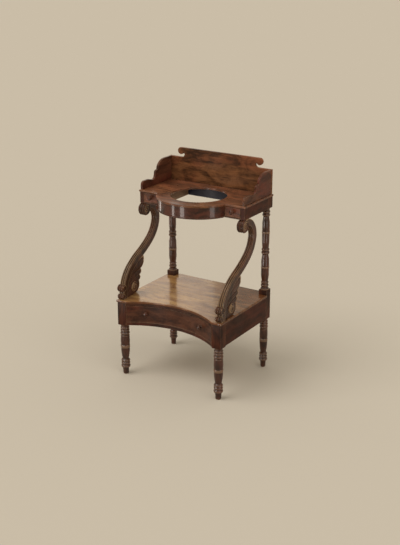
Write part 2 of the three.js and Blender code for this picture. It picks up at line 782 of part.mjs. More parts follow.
function splashSide() {
  const p = sideProfile;
  const nose = caseFront - topBoard.overhang + topBoard.edgeRound + p.noseInset;
  const humpEnd = nose + p.noseWidth + p.humpWidth;
  const valley = humpEnd + p.sweepWidth;
  const cove = valley + p.coveWidth;
  const ovolo = cove + p.ovoloWidth;
  const round = ovolo + p.fillet;
  const up = (rise) => topSurface + rise;
  const outline = new THREE.Shape();
  outline.moveTo(galleryBackFront, topSurface);
  outline.lineTo(galleryBackFront, shoulder);
  outline.absellipse(
    round + p.roundWidth,
    up(p.valleyRise + p.coveHeight + p.ovoloHeight),
    p.roundWidth,
    gallery.shoulderRise - p.valleyRise - p.coveHeight - p.ovoloHeight,
    Math.PI / 2,
    Math.PI,
    false,
  );
  const coveTop = up(p.valleyRise + p.coveHeight);
  outline.absellipse(ovolo, coveTop, p.ovoloWidth, p.ovoloHeight, Math.PI / 2, Math.PI, false);
  outline.absellipse(valley, coveTop, p.coveWidth, p.coveHeight, 0, -Math.PI / 2, true);
  outline.bezierCurveTo(
    valley - p.valleyWidth,
    up(p.valleyRise),
    humpEnd + p.valleyWidth,
    up(p.humpRise),
    humpEnd,
    up(p.humpRise),
  );
  outline.absellipse(
    nose + p.noseWidth,
    up(p.humpRise - p.noseHeight),
    p.noseWidth,
    p.noseHeight,
    Math.PI / 2,
    Math.PI,
    false,
  );
  outline.lineTo(nose, topSurface);
  return sideBoard(outline, galleryOuter - gallery.sideThickness, galleryOuter, curveDivision.edge);
}

// Drawers

// Distance from the drawer's face as a share of the knob's length, and the radius there as a
// share of the largest, out to the domed end.
const knobShares = [
  [0, 0.62],
  [0.1, 0.6],
  [0.24, 0.44],
  [0.4, 0.56],
  [0.56, 0.96],
  [0.68, 1],
  [0.82, 0.88],
  [0.94, 0.5],
];

// A turned knob that points along -Y from the origin, with a shank that fills its hole.
function turnedKnob(shankLength) {
  const profile = [
    new THREE.Vector2(0, -shankLength),
    new THREE.Vector2(knob.shankRadius, -shankLength),
    new THREE.Vector2(knob.shankRadius, fit),
  ];
  for (const [heightShare, radiusShare] of knobShares) {
    profile.push(new THREE.Vector2(knob.radius * radiusShare, fit + knob.length * heightShare));
  }
  profile.push(new THREE.Vector2(0, fit + knob.length));
  return new THREE.LatheGeometry(profile, division.knob).rotateZ(Math.PI);
}

// The hole through a drawer front whose face lies on the origin.
function knobHole(depth) {
  return pin(knob.shankRadius + fit, -overrun - depth, overrun).rotateX(Math.PI / 2);
}

// A drawer side seen from the front, with the groove that holds the bottom on its inner face.
function grooveSection(outer, thickness, height, bottomThickness) {
  const inner = outer - thickness;
  const low = drawerWork.grooveLift;
  const high = low + bottomThickness + 2 * fit;
  return outlineOf([
    [inner, 0],
    [outer, 0],
    [outer, height],
    [inner, height],
    [inner, high],
    [inner + drawerWork.grooveDepth, high],
    [inner + drawerWork.grooveDepth, low],
    [inner, low],
  ]);
}

const timber = (colour, roughness = 0.45) =>
  new THREE.MeshStandardMaterial({ color: colour, roughness, metalness: 0 });

function piece(name, geometry, colour) {
  const mesh = new THREE.Mesh(geometry, timber(colour));
  mesh.name = name;
  return mesh;
}

// Adds a right-hand piece and its mirror image on the left.
function addPair(group, name, makePiece) {
  const right = makePiece();
  right.name = name + "_right";
  const left = makePiece();
  left.name = name + "_left";
  left.position.x = -right.position.x;
  left.scale.x = -1;
  group.add(left, right);
}

function placed(mesh, x, y, z) {
  mesh.position.set(x, y, z);
  return mesh;
}

// The long drawer, in a frame whose origin is the centre of the hollow at the drawer's lower edge.
function longDrawerGroup() {
  const d = longDrawer;
  const group = new THREE.Group();
  const height = drawerCeiling - drawerFloor - fit - drawerWork.headGap;
  const half = legInner - drawerWork.sideGap;
  const backRadius = hollowRadius + d.frontThickness;
  const end = postFront - d.backClearance - hollowCentre;
  const sideHeight = height - drawerWork.sideDrop;
  const bottomLow = drawerWork.grooveLift + fit;
  const bottomHigh = bottomLow + d.bottomThickness;
  const grooveReach = half - d.sideThickness + drawerWork.grooveDepth;
  const knobTurn = Math.asin(longDrawerKnob.reach / hollowRadius);
  const knobRise = height * longDrawerKnob.riseShare;

  const groove = planBoard(
    hollowStrip(0, backRadius - drawerWork.grooveDepth - fit, backRadius + overrun, grooveReach),
    bottomLow - fit,
    bottomHigh + fit,
    curveDivision.arc,
  );
  const holes = [-1, 1].map((side) =>
    knobHole(d.frontThickness)
      .translate(0, hollowRadius, 0)
      .rotateZ(-side * knobTurn)
      .translate(0, 0, knobRise),
  );
  // The face is sunk inside a narrow bead.
  const face = planBoard(
    hollowStrip(0, hollowRadius - cockBead.proud - overrun, hollowRadius, half - cockBead.width),
    cockBead.width,
    height - cockBead.width,
    curveDivision.arc,
  );
  const blankPlan = hollowStrip(0, hollowRadius - cockBead.proud, backRadius, half);
  const front = cut(planBoard(blankPlan, 0, height, curveDivision.arc), face, groove, ...holes);
  group.add(piece("lower_drawer_front", front, tone.red));

  const clearOfFront = planBoard(
    hollowStrip(0, hollowRadius - leg.size, backRadius + fit, half + overrun),
    -overrun,
    height + overrun,
    curveDivision.arc,
  );
  const sideLow = Math.sqrt(hollowRadius ** 2 - half ** 2);
  addPair(group, "lower_drawer_side", () => {
    const section = grooveSection(half, d.sideThickness, sideHeight, d.bottomThickness);
    const side = frontBoard(section, sideLow, end, curveDivision.arc);
    return piece("", cut(side, clearOfFront), tone.deal);
  });

  const inner = half - d.sideThickness;
  const backLow = bottomHigh + fit;
  const backHigh = sideHeight - drawerWork.backDrop;
  const back = block([-inner, inner], [end - d.sideThickness, end], [backLow, backHigh]);
  group.add(piece("lower_drawer_back", back, tone.deal));

  const tongue = grooveReach - fit;
  const tongueRadius = backRadius - drawerWork.grooveDepth;
  const tongueTurn = Math.asin(tongue / tongueRadius);
  const plan = new THREE.Shape();
  plan.absarc(0, 0, tongueRadius, Math.PI / 2 + tongueTurn, Math.PI / 2 - tongueTurn, true);
  plan.lineTo(tongue, end);
  plan.lineTo(-tongue, end);
  const bottom = planBoard(plan, bottomLow, bottomHigh, curveDivision.arc);
  group.add(piece("lower_drawer_bottom", bottom, tone.deal));

  for (const [name, side] of [["lower_knob_left", -1], ["lower_knob_right", 1]]) {
    const turned = placed(
      piece(name, turnedKnob(d.frontThickness), tone.dark),
      side * longDrawerKnob.reach,
      Math.sqrt(hollowRadius ** 2 - longDrawerKnob.reach ** 2),
      knobRise,
    );
    turned.rotation.z = -side * knobTurn;
    group.add(turned);
  }
  group.position.set(0, hollowCentre, drawerFloor + fit);
  return group;
}

// A small drawer, in a frame whose origin is the middle of the lower edge of its face.
function smallDrawerGroup(side) {
  const d = smallDrawer;
  const group = new THREE.Group();
  const half = (caseSideInner - partitionOuter) / 2 - drawerWork.headGap;
  const height = caseTop - caseBottom - upperCase.bladeThickness - fit - drawerWork.headGap;
  const sideHeight = height - drawerWork.sideDrop;
  const bottomLow = drawerWork.grooveLift + fit;
  const bottomHigh = bottomLow + d.bottomThickness;
  const inner = half - d.sideThickness;
  const tongue = inner + drawerWork.grooveDepth - fit;
  const face = d.frontThickness;
  const end = caseBackFront - d.backClearance - caseFront;
  const knobRise = height * smallDrawerKnob.riseShare;
  const grooveDepth = [face - drawerWork.grooveDepth - fit, face + overrun];
  const inBead = half - cockBead.width;

  const front = cut(
    block([-half, half], [-cockBead.proud, face], [0, height]),
    block([-inBead, inBead], [-cockBead.proud - overrun, 0], [cockBead.width, height - cockBead.width]),
    block(grown([-tongue, tongue]), grooveDepth, grown([bottomLow, bottomHigh])),
    knobHole(face).translate(0, 0, knobRise),
  );
  group.add(piece(side + "_drawer_front", front, tone.red));
  const section = grooveSection(half, d.sideThickness, sideHeight, d.bottomThickness);
  const wall = () => piece("", frontBoard(section, face, end, curveDivision.arc), tone.deal);
  addPair(group, side + "_drawer_side", wall);
  const back = block(
    [-inner, inner],
    [end - d.sideThickness, end],
    [bottomHigh + fit, sideHeight - drawerWork.sideDrop],
  );
  group.add(piece(side + "_drawer_back", back, tone.deal));
  const bottom = block([-tongue, tongue], [face - drawerWork.grooveDepth, end], [bottomLow, bottomHigh]);
  group.add(piece(side + "_drawer_bottom", bottom, tone.deal));
  group.add(placed(piece(side + "_knob", turnedKnob(face), tone.dark), 0, 0, knobRise));
  const x = (caseSideInner + partitionOuter) / 2;
  group.position.set(side === "left" ? -x : x, caseFront, caseBottom + upperCase.bladeThickness + fit);
  return group;
}

// The whole stand

function baseGroup() {
  const group = new THREE.Group();
  const turned = (shape, inner, front, size) =>
    placed(piece("", shape, tone.dark), inner + size / 2, front + size / 2, 0);
  addPair(group, "front_leg", () => turned(frontLeg(), legInner, frameFront, leg.size));
  addPair(group, "rear_post", () => turned(rearPost(), postInner, postFront, post.size));
  addPair(group, "lower_side_rail", () => piece("", lowerSideRail(), tone.dark));
  group.add(piece("lower_back_rail", lowerBackRail(), tone.dark));
  const topRail = lowerFrontRail(drawerCeiling, shelfBottom, frontTopTenonHeight);
  group.add(piece("lower_front_top_rail", topRail, tone.brown));
  const bottomRail = lowerFrontRail(railBottom, drawerFloor, frontBottomTenonHeight);
  group.add(piece("lower_front_bottom_rail", bottomRail, tone.brown));
  addPair(group, "drawer_runner", () => piece("", drawerRunner(), tone.deal));
  addPair(group, "drawer_kicker", () => piece("", drawerKicker(), tone.deal));
  group.add(piece("shelf_board", shelfBoard(), tone.polished));
  return group;
}

function bracketGroup() {
  const group = new THREE.Group();
  const length = footDowel.legDepth + shelf.thickness + footDowel.bracketDepth;
  const archLength = 2 * archDowel.depth;
  const footDowelLow = shelfBottom - footDowel.legDepth;
  const archDowelLow = caseBottom - archDowel.depth;
  const peg = (long) => piece("", pin(dowel.radius, 0, long), tone.deal);
  addPair(group, "scroll_bracket", () => placed(piece("", scrollBracket(), tone.brown), bracketX, 0, 0));
  addPair(group, "foot_dowel", () => placed(peg(length), bracketX, footDowelY, footDowelLow));
  addPair(group, "arch_dowel", () => placed(peg(archLength), bracketX, archDowelY, archDowelLow));
  return group;
}

function upperCaseGroup() {
  const group = new THREE.Group();
  addPair(group, "upper_side", () => piece("", upperSide(), tone.dark));
  group.add(piece("upper_back_rail", upperBackRail(), tone.dark));
  group.add(piece("bow_apron", bowApron(), tone.dark));
  group.add(piece("bow_bead", bowBead(), tone.brown));
  addPair(group, "case_partition", () => piece("", casePartition(), tone.brown));
  addPair(group, "dust_board", () => piece("", dustBoard(), tone.brown));
  group.add(piece("top_board", topPlate(), tone.brown));
  group.add(piece("splash_back", splashBack(), tone.brown));
  addPair(group, "splash_side", () => piece("", splashSide(), tone.dark));
  return group;
}

const washstand = new THREE.Group();
washstand.add(baseGroup(), bracketGroup(), upperCaseGroup(), longDrawerGroup());
washstand.add(smallDrawerGroup("left"), smallDrawerGroup("right"));

export default washstand;
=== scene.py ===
# %% [markdown]
# # A mahogany washstand of about 1820
# The stand is real joinery: turned feet and columns, a hollow-fronted base with one long drawer,
# two carved scroll brackets, and a bow-fronted case with a basin hole and a splashboard. The
# frame that is loaded first holds every piece at its real size. This lesson dresses it: pieces
# with curves are made again with a finer surface, and each gets a procedural wood finish.
# Lengths are in metres, +Z is up and the drawer fronts face -Y.

import math

import bmesh
import bpy
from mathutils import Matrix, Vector
from mathutils.geometry import tessellate_polygon


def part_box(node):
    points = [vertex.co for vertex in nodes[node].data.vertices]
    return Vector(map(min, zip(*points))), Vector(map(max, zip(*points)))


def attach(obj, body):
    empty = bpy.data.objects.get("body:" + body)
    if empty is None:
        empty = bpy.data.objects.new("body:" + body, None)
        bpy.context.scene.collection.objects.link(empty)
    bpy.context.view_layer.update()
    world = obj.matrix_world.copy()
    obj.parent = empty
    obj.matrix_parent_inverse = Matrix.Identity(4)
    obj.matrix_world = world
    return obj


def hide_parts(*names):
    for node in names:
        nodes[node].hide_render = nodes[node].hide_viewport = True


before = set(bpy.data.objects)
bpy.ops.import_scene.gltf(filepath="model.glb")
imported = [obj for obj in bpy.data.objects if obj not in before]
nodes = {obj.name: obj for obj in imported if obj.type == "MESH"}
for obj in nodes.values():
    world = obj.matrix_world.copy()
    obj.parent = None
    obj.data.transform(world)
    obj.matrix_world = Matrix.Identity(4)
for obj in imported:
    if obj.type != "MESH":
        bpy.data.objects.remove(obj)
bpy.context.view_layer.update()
MM = 0.001
QUARTER_TURN = math.pi / 2

# %% [markdown]
# ## The camera
# The stand is seen from above its right-hand front corner. A long lens some four metres away
# keeps the legs nearly upright, as in the painting. The camera is placed by an angle round the
# stand, a height angle and a distance from one point on it, because those three are what one
# would measure in a studio.

# %% Camera
IMAGE_LONG_SIDE = 545
SENSOR = 36.0
camera_turn = math.radians(32.17)
camera_rise = math.radians(19.57)
camera_distance = 4.2037
focal_pixels = 1001.4
aim = Vector((0, 0.0449, 0.430))

away = Vector((
    math.sin(camera_turn) * math.cos(camera_rise),
    -math.cos(camera_turn) * math.cos(camera_rise),
    math.sin(camera_rise),
))
camera_data = bpy.data.cameras.new("studio_camera")
camera_data.sensor_width = SENSOR
camera_data.lens = focal_pixels * SENSOR / IMAGE_LONG_SIDE
camera = bpy.data.objects.new("studio_camera", camera_data)
camera.location = aim + away * camera_distance
camera.rotation_euler = (-away).to_track_quat("-Z", "Y").to_euler()
bpy.context.scene.collection.objects.link(camera)
bpy.context.scene.camera = camera
print("lens:", round(camera_data.lens, 2), "mm")

# %% [markdown]
# ## Sizes
# Places come from the frame's own boxes, so a new piece always sits where the joinery says.
# Radii, overhangs and other things that a box can't tell are named here once.

# %% Sizes
leg_low, leg_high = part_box("front_leg_right")
post_low, post_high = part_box("rear_post_right")
shelf_low, shelf_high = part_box("shelf_board")
bracket_low, bracket_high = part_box("scroll_bracket_right")
top_low, top_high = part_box("top_board")
apron_low, apron_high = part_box("bow_apron")
trim_low, trim_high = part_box("bow_bead")
splash_low, splash_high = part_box("splash_back")
gallery_low, gallery_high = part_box("splash_side_right")

foot_height = 226 * MM
block_above_shelf = 20 * MM
shelf_overhang = 4 * MM
top_overhang = 3 * MM
hollow_depth = 67 * MM
bow_radius = 172 * MM
bow_setback = 61 * MM
apron_thickness = 14 * MM
trim_depth = 9 * MM
basin_radius = 117 * MM
rail_depth = 22 * MM
joint_gap = 0.3 * MM
case_depth = 231 * MM
drawer_front_thickness = 18 * MM

# How far the arrises of each kind of board are rounded.
arris = {
    "shelf": 3.2 * MM, "rail": 0.8 * MM, "drawer": 0.5 * MM, "apron": 0.4 * MM, "bead": 2.6 * MM,
    "top": 2.4 * MM, "splash": 1.8 * MM, "block": 1.2 * MM, "plain": 0.6 * MM,
}

leg_inner = leg_low.x
frame_front = leg_low.y
frame_back = post_high.y
case_front = frame_back - case_depth
case_bottom = bracket_high.z
hollow_radius = (leg_inner ** 2 + hollow_depth ** 2) / (2 * hollow_depth)
hollow_centre = frame_front + hollow_depth - hollow_radius
bow_centre = case_front + bow_setback
print("hollow radius:", round(hollow_radius / MM, 1), "mm")

# %% [markdown]
# ## Skins from rows of points
# A turned foot, a reeded stem and a board with a rounded edge are the same thing to a mesh:
# rows of points, one after another, with faces between them. One helper bridges the rows and
# another turns any number of such skins into an object. Normals are made to face outwards, and
# edges sharper than a set angle stay crisp.

# %% Rows, skins and pieces
CRISP_ANGLE = math.radians(38)


def round_turns(sides):
    """The angles of points that stand evenly round a circle."""
    return [2 * math.pi * i / sides for i in range(sides)]


def bridge(row_count, row_size, round_again=False):
    """Quads between successive rings of points, and from the last to the first if asked."""
    faces = []
    for row in range(row_count if round_again else row_count - 1):
        here = row * row_size
        there = (row + 1) % row_count * row_size
        for i in range(row_size):
            beside = (i + 1) % row_size
            faces.append((here + i, here + beside, there + beside, there + i))
    return faces


def capped(rows):
    """A closed skin over rings of points, with a flat cap on the first and the last."""
    size = len(rows[0])
    points = [p for row in rows for p in row]
    faces = bridge(len(rows), size)
    faces.append(tuple(range(size)))
    faces.append(tuple(range(len(points) - size, len(points))))
    return points, faces


def make_piece(name, *skins, second=()):
    """One object from closed skins, smooth except where an edge is crisp.

    The second skins take the piece's second material.
    """
    bm = bmesh.new()
    for index, group in enumerate((skins, second)):
        for points, faces in group:
            corners = [bm.verts.new(p) for p in points]
            for face in faces:
                bm.faces.new([corners[i] for i in face]).material_index = index
    bmesh.ops.recalc_face_normals(bm, faces=bm.faces)
    mesh = bpy.data.meshes.new(name)
    bm.to_mesh(mesh)
    bm.free()
    mesh.shade_smooth()
    mesh.set_sharp_from_angle(angle=CRISP_ANGLE)
    piece = bpy.data.objects.new(name, mesh)
    bpy.context.scene.collection.objects.link(piece)
    print(name, len(mesh.vertices), "points")
    return piece


def seat(piece, body, slot, stands_for, *materials):
    """Gives a piece the body that it rides on, the node that it stands for and its finishes."""
    for material in materials:
        piece.data.materials.append(material)
    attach(piece, body)
    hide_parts(stands_for)
    return piece


# %% [markdown]
# ## Boards with eased edges
# A joiner never leaves an arris sharp: a few strokes of the plane round it off, and polish
# gathers light there. A bevel modifier could do that, but on outlines with arcs and a hole it is
# surer to draw the edge's profile once and offset the outline by it, ring by ring.

# %% Outlines and edged boards
ARC_STEPS = 56
EASE_STEPS = 4
SHARPEST_MITRE = 0.4


def arc(centre, radius, start, end, steps, flatten=1.0):
    """Points on an arc, or on part of an ellipse whose height is flattened."""
    turns = [start + (end - start) * i / steps for i in range(steps + 1)]
    return [(centre[0] + radius * math.cos(t), centre[1] + radius * flatten * math.sin(t)) for t in turns]


def middle_arc(centre_y, radius, middle, turn):
    """An arc about a centre on the stand's middle line, evenly to both sides of a direction."""
    return arc((0, centre_y), radius, middle + turn, middle - turn, ARC_STEPS)


def signed_area(outline):
    """Positive where an outline runs anticlockwise."""
    pairs = zip(outline, outline[1:] + outline[:1])
    return sum(a[0] * b[1] - b[0] * a[1] for a, b in pairs) / 2


def inset(outline, distance):
    """The outline moved to its left by a distance, with mitred corners."""
    points = [Vector(p) for p in outline]
    moved = []
    for i, point in enumerate(points):
        arriving = (point - points[i - 1]).normalized()
        leaving = (points[(i + 1) % len(points)] - point).normalized()
        left = Vector((-arriving.y - leaving.y, arriving.x + leaving.x))
        moved.append(point + left * distance / max(1 + arriving.dot(leaving), SHARPEST_MITRE))
    return moved


def eased(low, high, ease):
    """The profile of an edge from the lower face to the upper, as (inset, level)."""
    turns = [QUARTER_TURN * i / EASE_STEPS for i in range(EASE_STEPS + 1)]
    lower = [(ease * (1 - math.sin(t)), low + ease * (1 - math.cos(t))) for t in turns]
    return lower + [(way, low + high - level) for way, level in reversed(lower)]


def in_plan(u, v, w):
    return u, v, w


def in_side_view(u, v, w):
    return w, u, v


def in_front_view(u, v, w):
    return u, w, v


def edged_board(outline, low, high, ease, place, hole=None):
    """A closed skin for a board with rounded arrises, and with a hole if one is given."""
    loops = [outline if signed_area(outline) > 0 else outline[::-1]]
    if hole:
        loops.append(hole if signed_area(hole) < 0 else hole[::-1])
    profile = eased(low, high, ease)
    points, faces, ends = [], [], []
    for loop in loops:
        start = len(points)
        for distance, level in profile:
            points += [place(u, v, level) for u, v in inset(loop, distance)]
        faces += [tuple(start + i for i in face) for face in bridge(len(profile), len(loop))]
        ends.append((start, len(points) - len(loop)))
    for end in (0, 1):
        first = [starts[end] for starts in ends]
        if not hole:
            faces.append(tuple(range(first[0], first[0] + len(outline))))
            continue
        index = [start + i for start, loop in zip(first, loops) for i in range(len(loop))]
        flat = [[Vector((u, v, 0)) for u, v in inset(loop, ease)] for loop in loops]
        faces += [tuple(index[i] for i in triangle) for triangle in tessellate_polygon(flat)]
    return points, faces


def weighted(piece):
    """Lets the broad faces rule the shading, so that a flat board stays flat up to its edge."""
    modifier = piece.modifiers.new("broad_faces", "WEIGHTED_NORMAL")
    modifier.keep_sharp = True
    return piece


def box_outline(low_u, high_u, low_v, high_v):
    return [(low_u, low_v), (high_u, low_v), (high_u, high_v), (low_u, high_v)]


print("edge profile:", len(eased(0, 1, 0.1)), "rings")

# %% [markdown]
# ## Node helpers
# A shader could be put together by hand in the node editor. In a script, short helpers that add
# a node, feed it and hand on its result keep the recipe readable as a few lines of arithmetic.
# Colours are given as they look on a screen and turned into the shader's own units here.

# %% Node helpers
def linear(red, green, blue):
    """A colour given as it looks on a screen, from 0 to 255, in the shader's own units."""
    def one(value):
        value /= 255
        return value / 12.92 if value <= 0.04045 else ((value + 0.055) / 1.055) ** 2.4
    return one(red), one(green), one(blue), 1.0


def add(tree, kind, inputs=None, **settings):
    """A new node. Inputs are constants or sockets, by name or number."""
    made = tree.nodes.new("ShaderNode" + kind)
    for key, value in settings.items():
        setattr(made, key, value)
    for key, value in (inputs or {}).items():
        if isinstance(value, bpy.types.NodeSocket):
            tree.links.new(value, made.inputs[key])
        else:
            made.inputs[key].default_value = value
    return made


def calculate(tree, operation, *values):
    """The result of a Math node."""
    return add(tree, "Math", dict(enumerate(values)), operation=operation).outputs[0]


def scaled(tree, vector, scale):
    """Coordinates made finer, by a factor for each axis."""
    return add(tree, "VectorMath", {0: vector, 1: scale}, operation="MULTIPLY").outputs[0]


def noise(tree, vector, detail, roughness=0.55, distortion=0.0):
    """A cloudy pattern between 0 and 1 whose size is set by its coordinates."""
    inputs = {"Vector": vector, "Scale": 1.0, "Detail": detail}
    inputs |= {"Roughness": roughness, "Distortion": distortion}
    return add(tree, "TexNoise", inputs).outputs["Fac"]


def spread(tree, value, low, high, to_low=0.0, to_high=1.0):
    """Stretches a value's range to another one and clamps it."""
    inputs = {"Value": value, "From Min": low, "From Max": high, "To Min": to_low, "To Max": to_high}
    return add(tree, "MapRange", inputs, interpolation_type="SMOOTHSTEP").outputs["Result"]


def blended(tree, factor, first, second, blend_type="MIX"):
    """The first colour where the factor is 0, and the second where it is 1."""
    made = add(tree, "Mix", {0: factor, 6: first, 7: second}, data_type="RGBA", blend_type=blend_type)
    return made.outputs[2]


def new_group(name, inputs, outputs):
    """An empty node group with named sockets, and the sockets at its two ends."""
    group = bpy.data.node_groups.new(name, "ShaderNodeTree")
    for label, kind, value in inputs:
        socket = group.interface.new_socket(label, in_out="INPUT", socket_type="NodeSocket" + kind)
        if value is not None:
            socket.default_value = value
    for label, kind in outputs:
        group.interface.new_socket(label, in_out="OUTPUT", socket_type="NodeSocket" + kind)
    return group, group.nodes.new("NodeGroupInput").outputs, group.nodes.new("NodeGroupOutput").inputs


print("mid grey in the shader:", round(linear(128, 128, 128)[0], 3))

# %% [markdown]
# ## Mahogany figure
# Mahogany has several scales of pattern: broad warm and cool patches, ribbons that come from the
# way the fibres interlock, fine streaks, and short dark pores. A picture of a board would do, but
# it would repeat and stretch. One node group makes all the patterns from a position in the wood,
# with the grain along X, so every board can share it and only turn its coordinates.

# %% Mahogany figure
# How fine each pattern is along the grain and across it, in features to a metre.
BROAD_SCALE = (3.2, 6.0, 6.0)
RIBBON_SCALE = (3.0, 44.0, 44.0)
MOTTLE_SCALE = (9.0, 17.0, 17.0)
STREAK_SCALE = (14.0, 420.0, 420.0)
PORE_SCALE = (55.0, 1100.0, 1100.0)


def build_mahogany_figure():
    """Colour and pore relief of mahogany, from a position with the grain along X."""
    inputs = [
        ("Vector", "Vector", None),
        ("Pale", "Color", linear(120, 78, 52)),
        ("Dark", "Color", linear(52, 30, 24)),
        ("Red", "Color", linear(110, 52, 36)),
        ("Ribbon", "Float", 0.8),
        ("Mottle", "Float", 0.8),
    ]
    outputs = [("Color", "Color"), ("Pores", "Float"), ("Streak", "Float")]
    tree, given, out = new_group("mahogany_figure", inputs, outputs)
    place = given["Vector"]
    broad = noise(tree, scaled(tree, place, BROAD_SCALE), 2.0, 0.5, 0.8)
    # Bending the coordinates a little makes ribbons wander, as fibres round a branch do.
    bend = calculate(tree, "MULTIPLY", calculate(tree, "SUBTRACT", broad, 0.5), 0.06)
    wander = add(tree, "CombineXYZ", {0: 0.0, 1: bend, 2: bend}).outputs[0]
    bent = add(tree, "VectorMath", {0: place, 1: wander}, operation="ADD").outputs[0]
    ribbon = noise(tree, scaled(tree, bent, RIBBON_SCALE), 5.0, 0.62, 0.5)
    mottle = noise(tree, scaled(tree, bent, MOTTLE_SCALE), 5.0, 0.62, 1.2)
    streak = noise(tree, scaled(tree, bent, STREAK_SCALE), 3.0, 0.6)
    dashes = noise(tree, scaled(tree, place, PORE_SCALE), 1.0, 0.5)
    pores = spread(tree, dashes, 0.60, 0.72)

    def share(value, amount):
        return calculate(tree, "MULTIPLY", calculate(tree, "SUBTRACT", value, 0.5), amount)

    total = calculate(tree, "ADD", share(ribbon, given["Ribbon"]), share(mottle, given["Mottle"]))
    total = calculate(tree, "ADD", total, share(streak, 0.4))
    level = spread(tree, total, -0.26, 0.26)
    light = blended(tree, spread(tree, broad, 0.42, 0.62), given["Pale"], given["Red"])
    colour = blended(tree, level, given["Dark"], light)
    shade = calculate(tree, "MULTIPLY", pores, 0.45)
    tree.links.new(blended(tree, shade, colour, given["Dark"], "MULTIPLY"), out["Color"])
    tree.links.new(pores, out["Pores"])
    tree.links.new(streak, out["Streak"])
    return tree


mahogany_figure = build_mahogany_figure()
print("group:", mahogany_figure.name)

# %% [markdown]
# ## Handling and age
# Two hundred years of cloths rub the polish thin on every arris and on the crests of carving,
# while wax goes dark in the hollows, dust settles on what looks up, and daylight bleaches a
# shelf. The pale arrises and crests are also painted highlights, and the faded shelf also carries
# a painted sheen. None of this belongs to the timber, so each is a group of its own that gives a
# mask. The masks could be painted by hand, but worked out from the shape they fit every piece at
# once: the Bevel node finds arrises, and Pointiness finds crests and hollows where the mesh is dense.

# %% Rubbed and highlit edges, carving, dust, and sun fading with painted sheen
# How patchy each effect is along X, Y and Z, in patches to a metre.
RUB_SCALE = (60.0, 60.0, 60.0)
DUST_SCALE = (7.0, 7.0, 7.0)
FADE_AND_SHEEN_SCALE = (5.0, 26.0, 5.0)
# Pointiness is 0.5 on a flat. These say where wax lies, and how fast a crest gets paler, as rubbed polish
# and painted highlight.
HOLLOW_START = 0.494
HOLLOW_END = 0.45
CREST_SPAN = 0.038


def build_rubbed_and_highlit_edges():
    """Where hands and cloths have thinned the polish, and where arrises get a painted highlight: a mask
    that is 1 on arrises.
    """
    inputs = [("Radius", "Float", 0.002), ("Patchy", "Float", 0.5)]
    tree, given, out = new_group("rubbed_and_highlit_edges", inputs, [("Mask", "Float")])
    rounded = add(tree, "Bevel", {"Radius": given["Radius"]}, samples=4).outputs["Normal"]
    true_normal = add(tree, "NewGeometry").outputs["Normal"]
    both = {0: rounded, 1: true_normal}
    agreement = add(tree, "VectorMath", both, operation="DOT_PRODUCT").outputs["Value"]
    edge = spread(tree, calculate(tree, "SUBTRACT", 1.0, agreement), 0.01, 0.13)
    place = add(tree, "TexCoord").outputs["Object"]
    patches = spread(tree, noise(tree, scaled(tree, place, RUB_SCALE), 3.0), 0.35, 0.65)
    keep = calculate(tree, "SUBTRACT", 1.0, calculate(tree, "MULTIPLY", patches, given["Patchy"]))
    tree.links.new(calculate(tree, "MULTIPLY", edge, keep), out["Mask"])
    return tree


def build_carved_highlight_and_wax():
    """Crests that cloths have polished pale and that carry a painted highlight, and hollows where old wax
    has gone dark.
    """
    inputs = [("Strength", "Float", 1.0), ("Level", "Float", 0.53)]
    tree, given, out = new_group("carved_highlight_and_wax", inputs, [("Crest", "Float"), ("Hollow", "Float")])
    bend = add(tree, "NewGeometry").outputs["Pointiness"]
    crest = spread(tree, calculate(tree, "SUBTRACT", bend, given["Level"]), 0.0, CREST_SPAN)
    hollow = spread(tree, bend, HOLLOW_START, HOLLOW_END)
    tree.links.new(calculate(tree, "MULTIPLY", crest, given["Strength"]), out["Crest"])
    tree.links.new(calculate(tree, "MULTIPLY", hollow, given["Strength"]), out["Hollow"])
    return tree


def build_settled_dust():
    """A thin veil on faces that look up, thicker in patches."""
    inputs = [("Amount", "Float", 0.15)]
    tree, given, out = new_group("settled_dust", inputs, [("Mask", "Float")])
    normal = add(tree, "NewGeometry").outputs["Normal"]
    upward = spread(tree, add(tree, "SeparateXYZ", {0: normal}).outputs["Z"], 0.5, 1.0)
    place = add(tree, "TexCoord").outputs["Object"]
    patches = spread(tree, noise(tree, scaled(tree, place, DUST_SCALE), 5.0), 0.3, 0.75)
    veil = calculate(tree, "MULTIPLY", calculate(tree, "MULTIPLY", upward, patches), given["Amount"])
    tree.links.new(veil, out["Mask"])
    return tree


def build_sun_fade_and_sheen():
    """Where a board's upper face is paler, from the front left to the back: sun fading and a painted
    sheen.
    """
    inputs = [("Start", "Float", 0.2), ("Reach", "Float", 0.3)]
    tree, given, out = new_group("sun_fade_and_sheen", inputs, [("Mask", "Float")])
    normal = add(tree, "NewGeometry").outputs["Normal"]
    upward = spread(tree, add(tree, "SeparateXYZ", {0: normal}).outputs["Z"], 0.7, 0.95)
    place = add(tree, "TexCoord").outputs["Object"]
    parts = add(tree, "SeparateXYZ", {0: place}).outputs
    patches = noise(tree, scaled(tree, place, FADE_AND_SHEEN_SCALE), 4.0, 0.6, 0.6)
    far = calculate(tree, "ADD", parts["X"], calculate(tree, "MULTIPLY", parts["Y"], 0.6))
    ragged = calculate(tree, "MULTIPLY", calculate(tree, "SUBTRACT", patches, 0.5), 0.6)
    far = calculate(tree, "ADD", far, ragged)
    past = calculate(tree, "DIVIDE", calculate(tree, "SUBTRACT", far, given["Start"]), given["Reach"])
    kept = spread(tree, past, 1.0, 0.0)
    tree.links.new(calculate(tree, "MULTIPLY", upward, kept), out["Mask"])
    return tree


rubbed_and_highlit_edges = build_rubbed_and_highlit_edges()
carved_highlight_and_wax = build_carved_highlight_and_wax()
settled_dust = build_settled_dust()
sun_fade_and_sheen = build_sun_fade_and_sheen()
print("groups:", rubbed_and_highlit_edges.name, carved_highlight_and_wax.name, settled_dust.name, sun_fade_and_sheen.name)
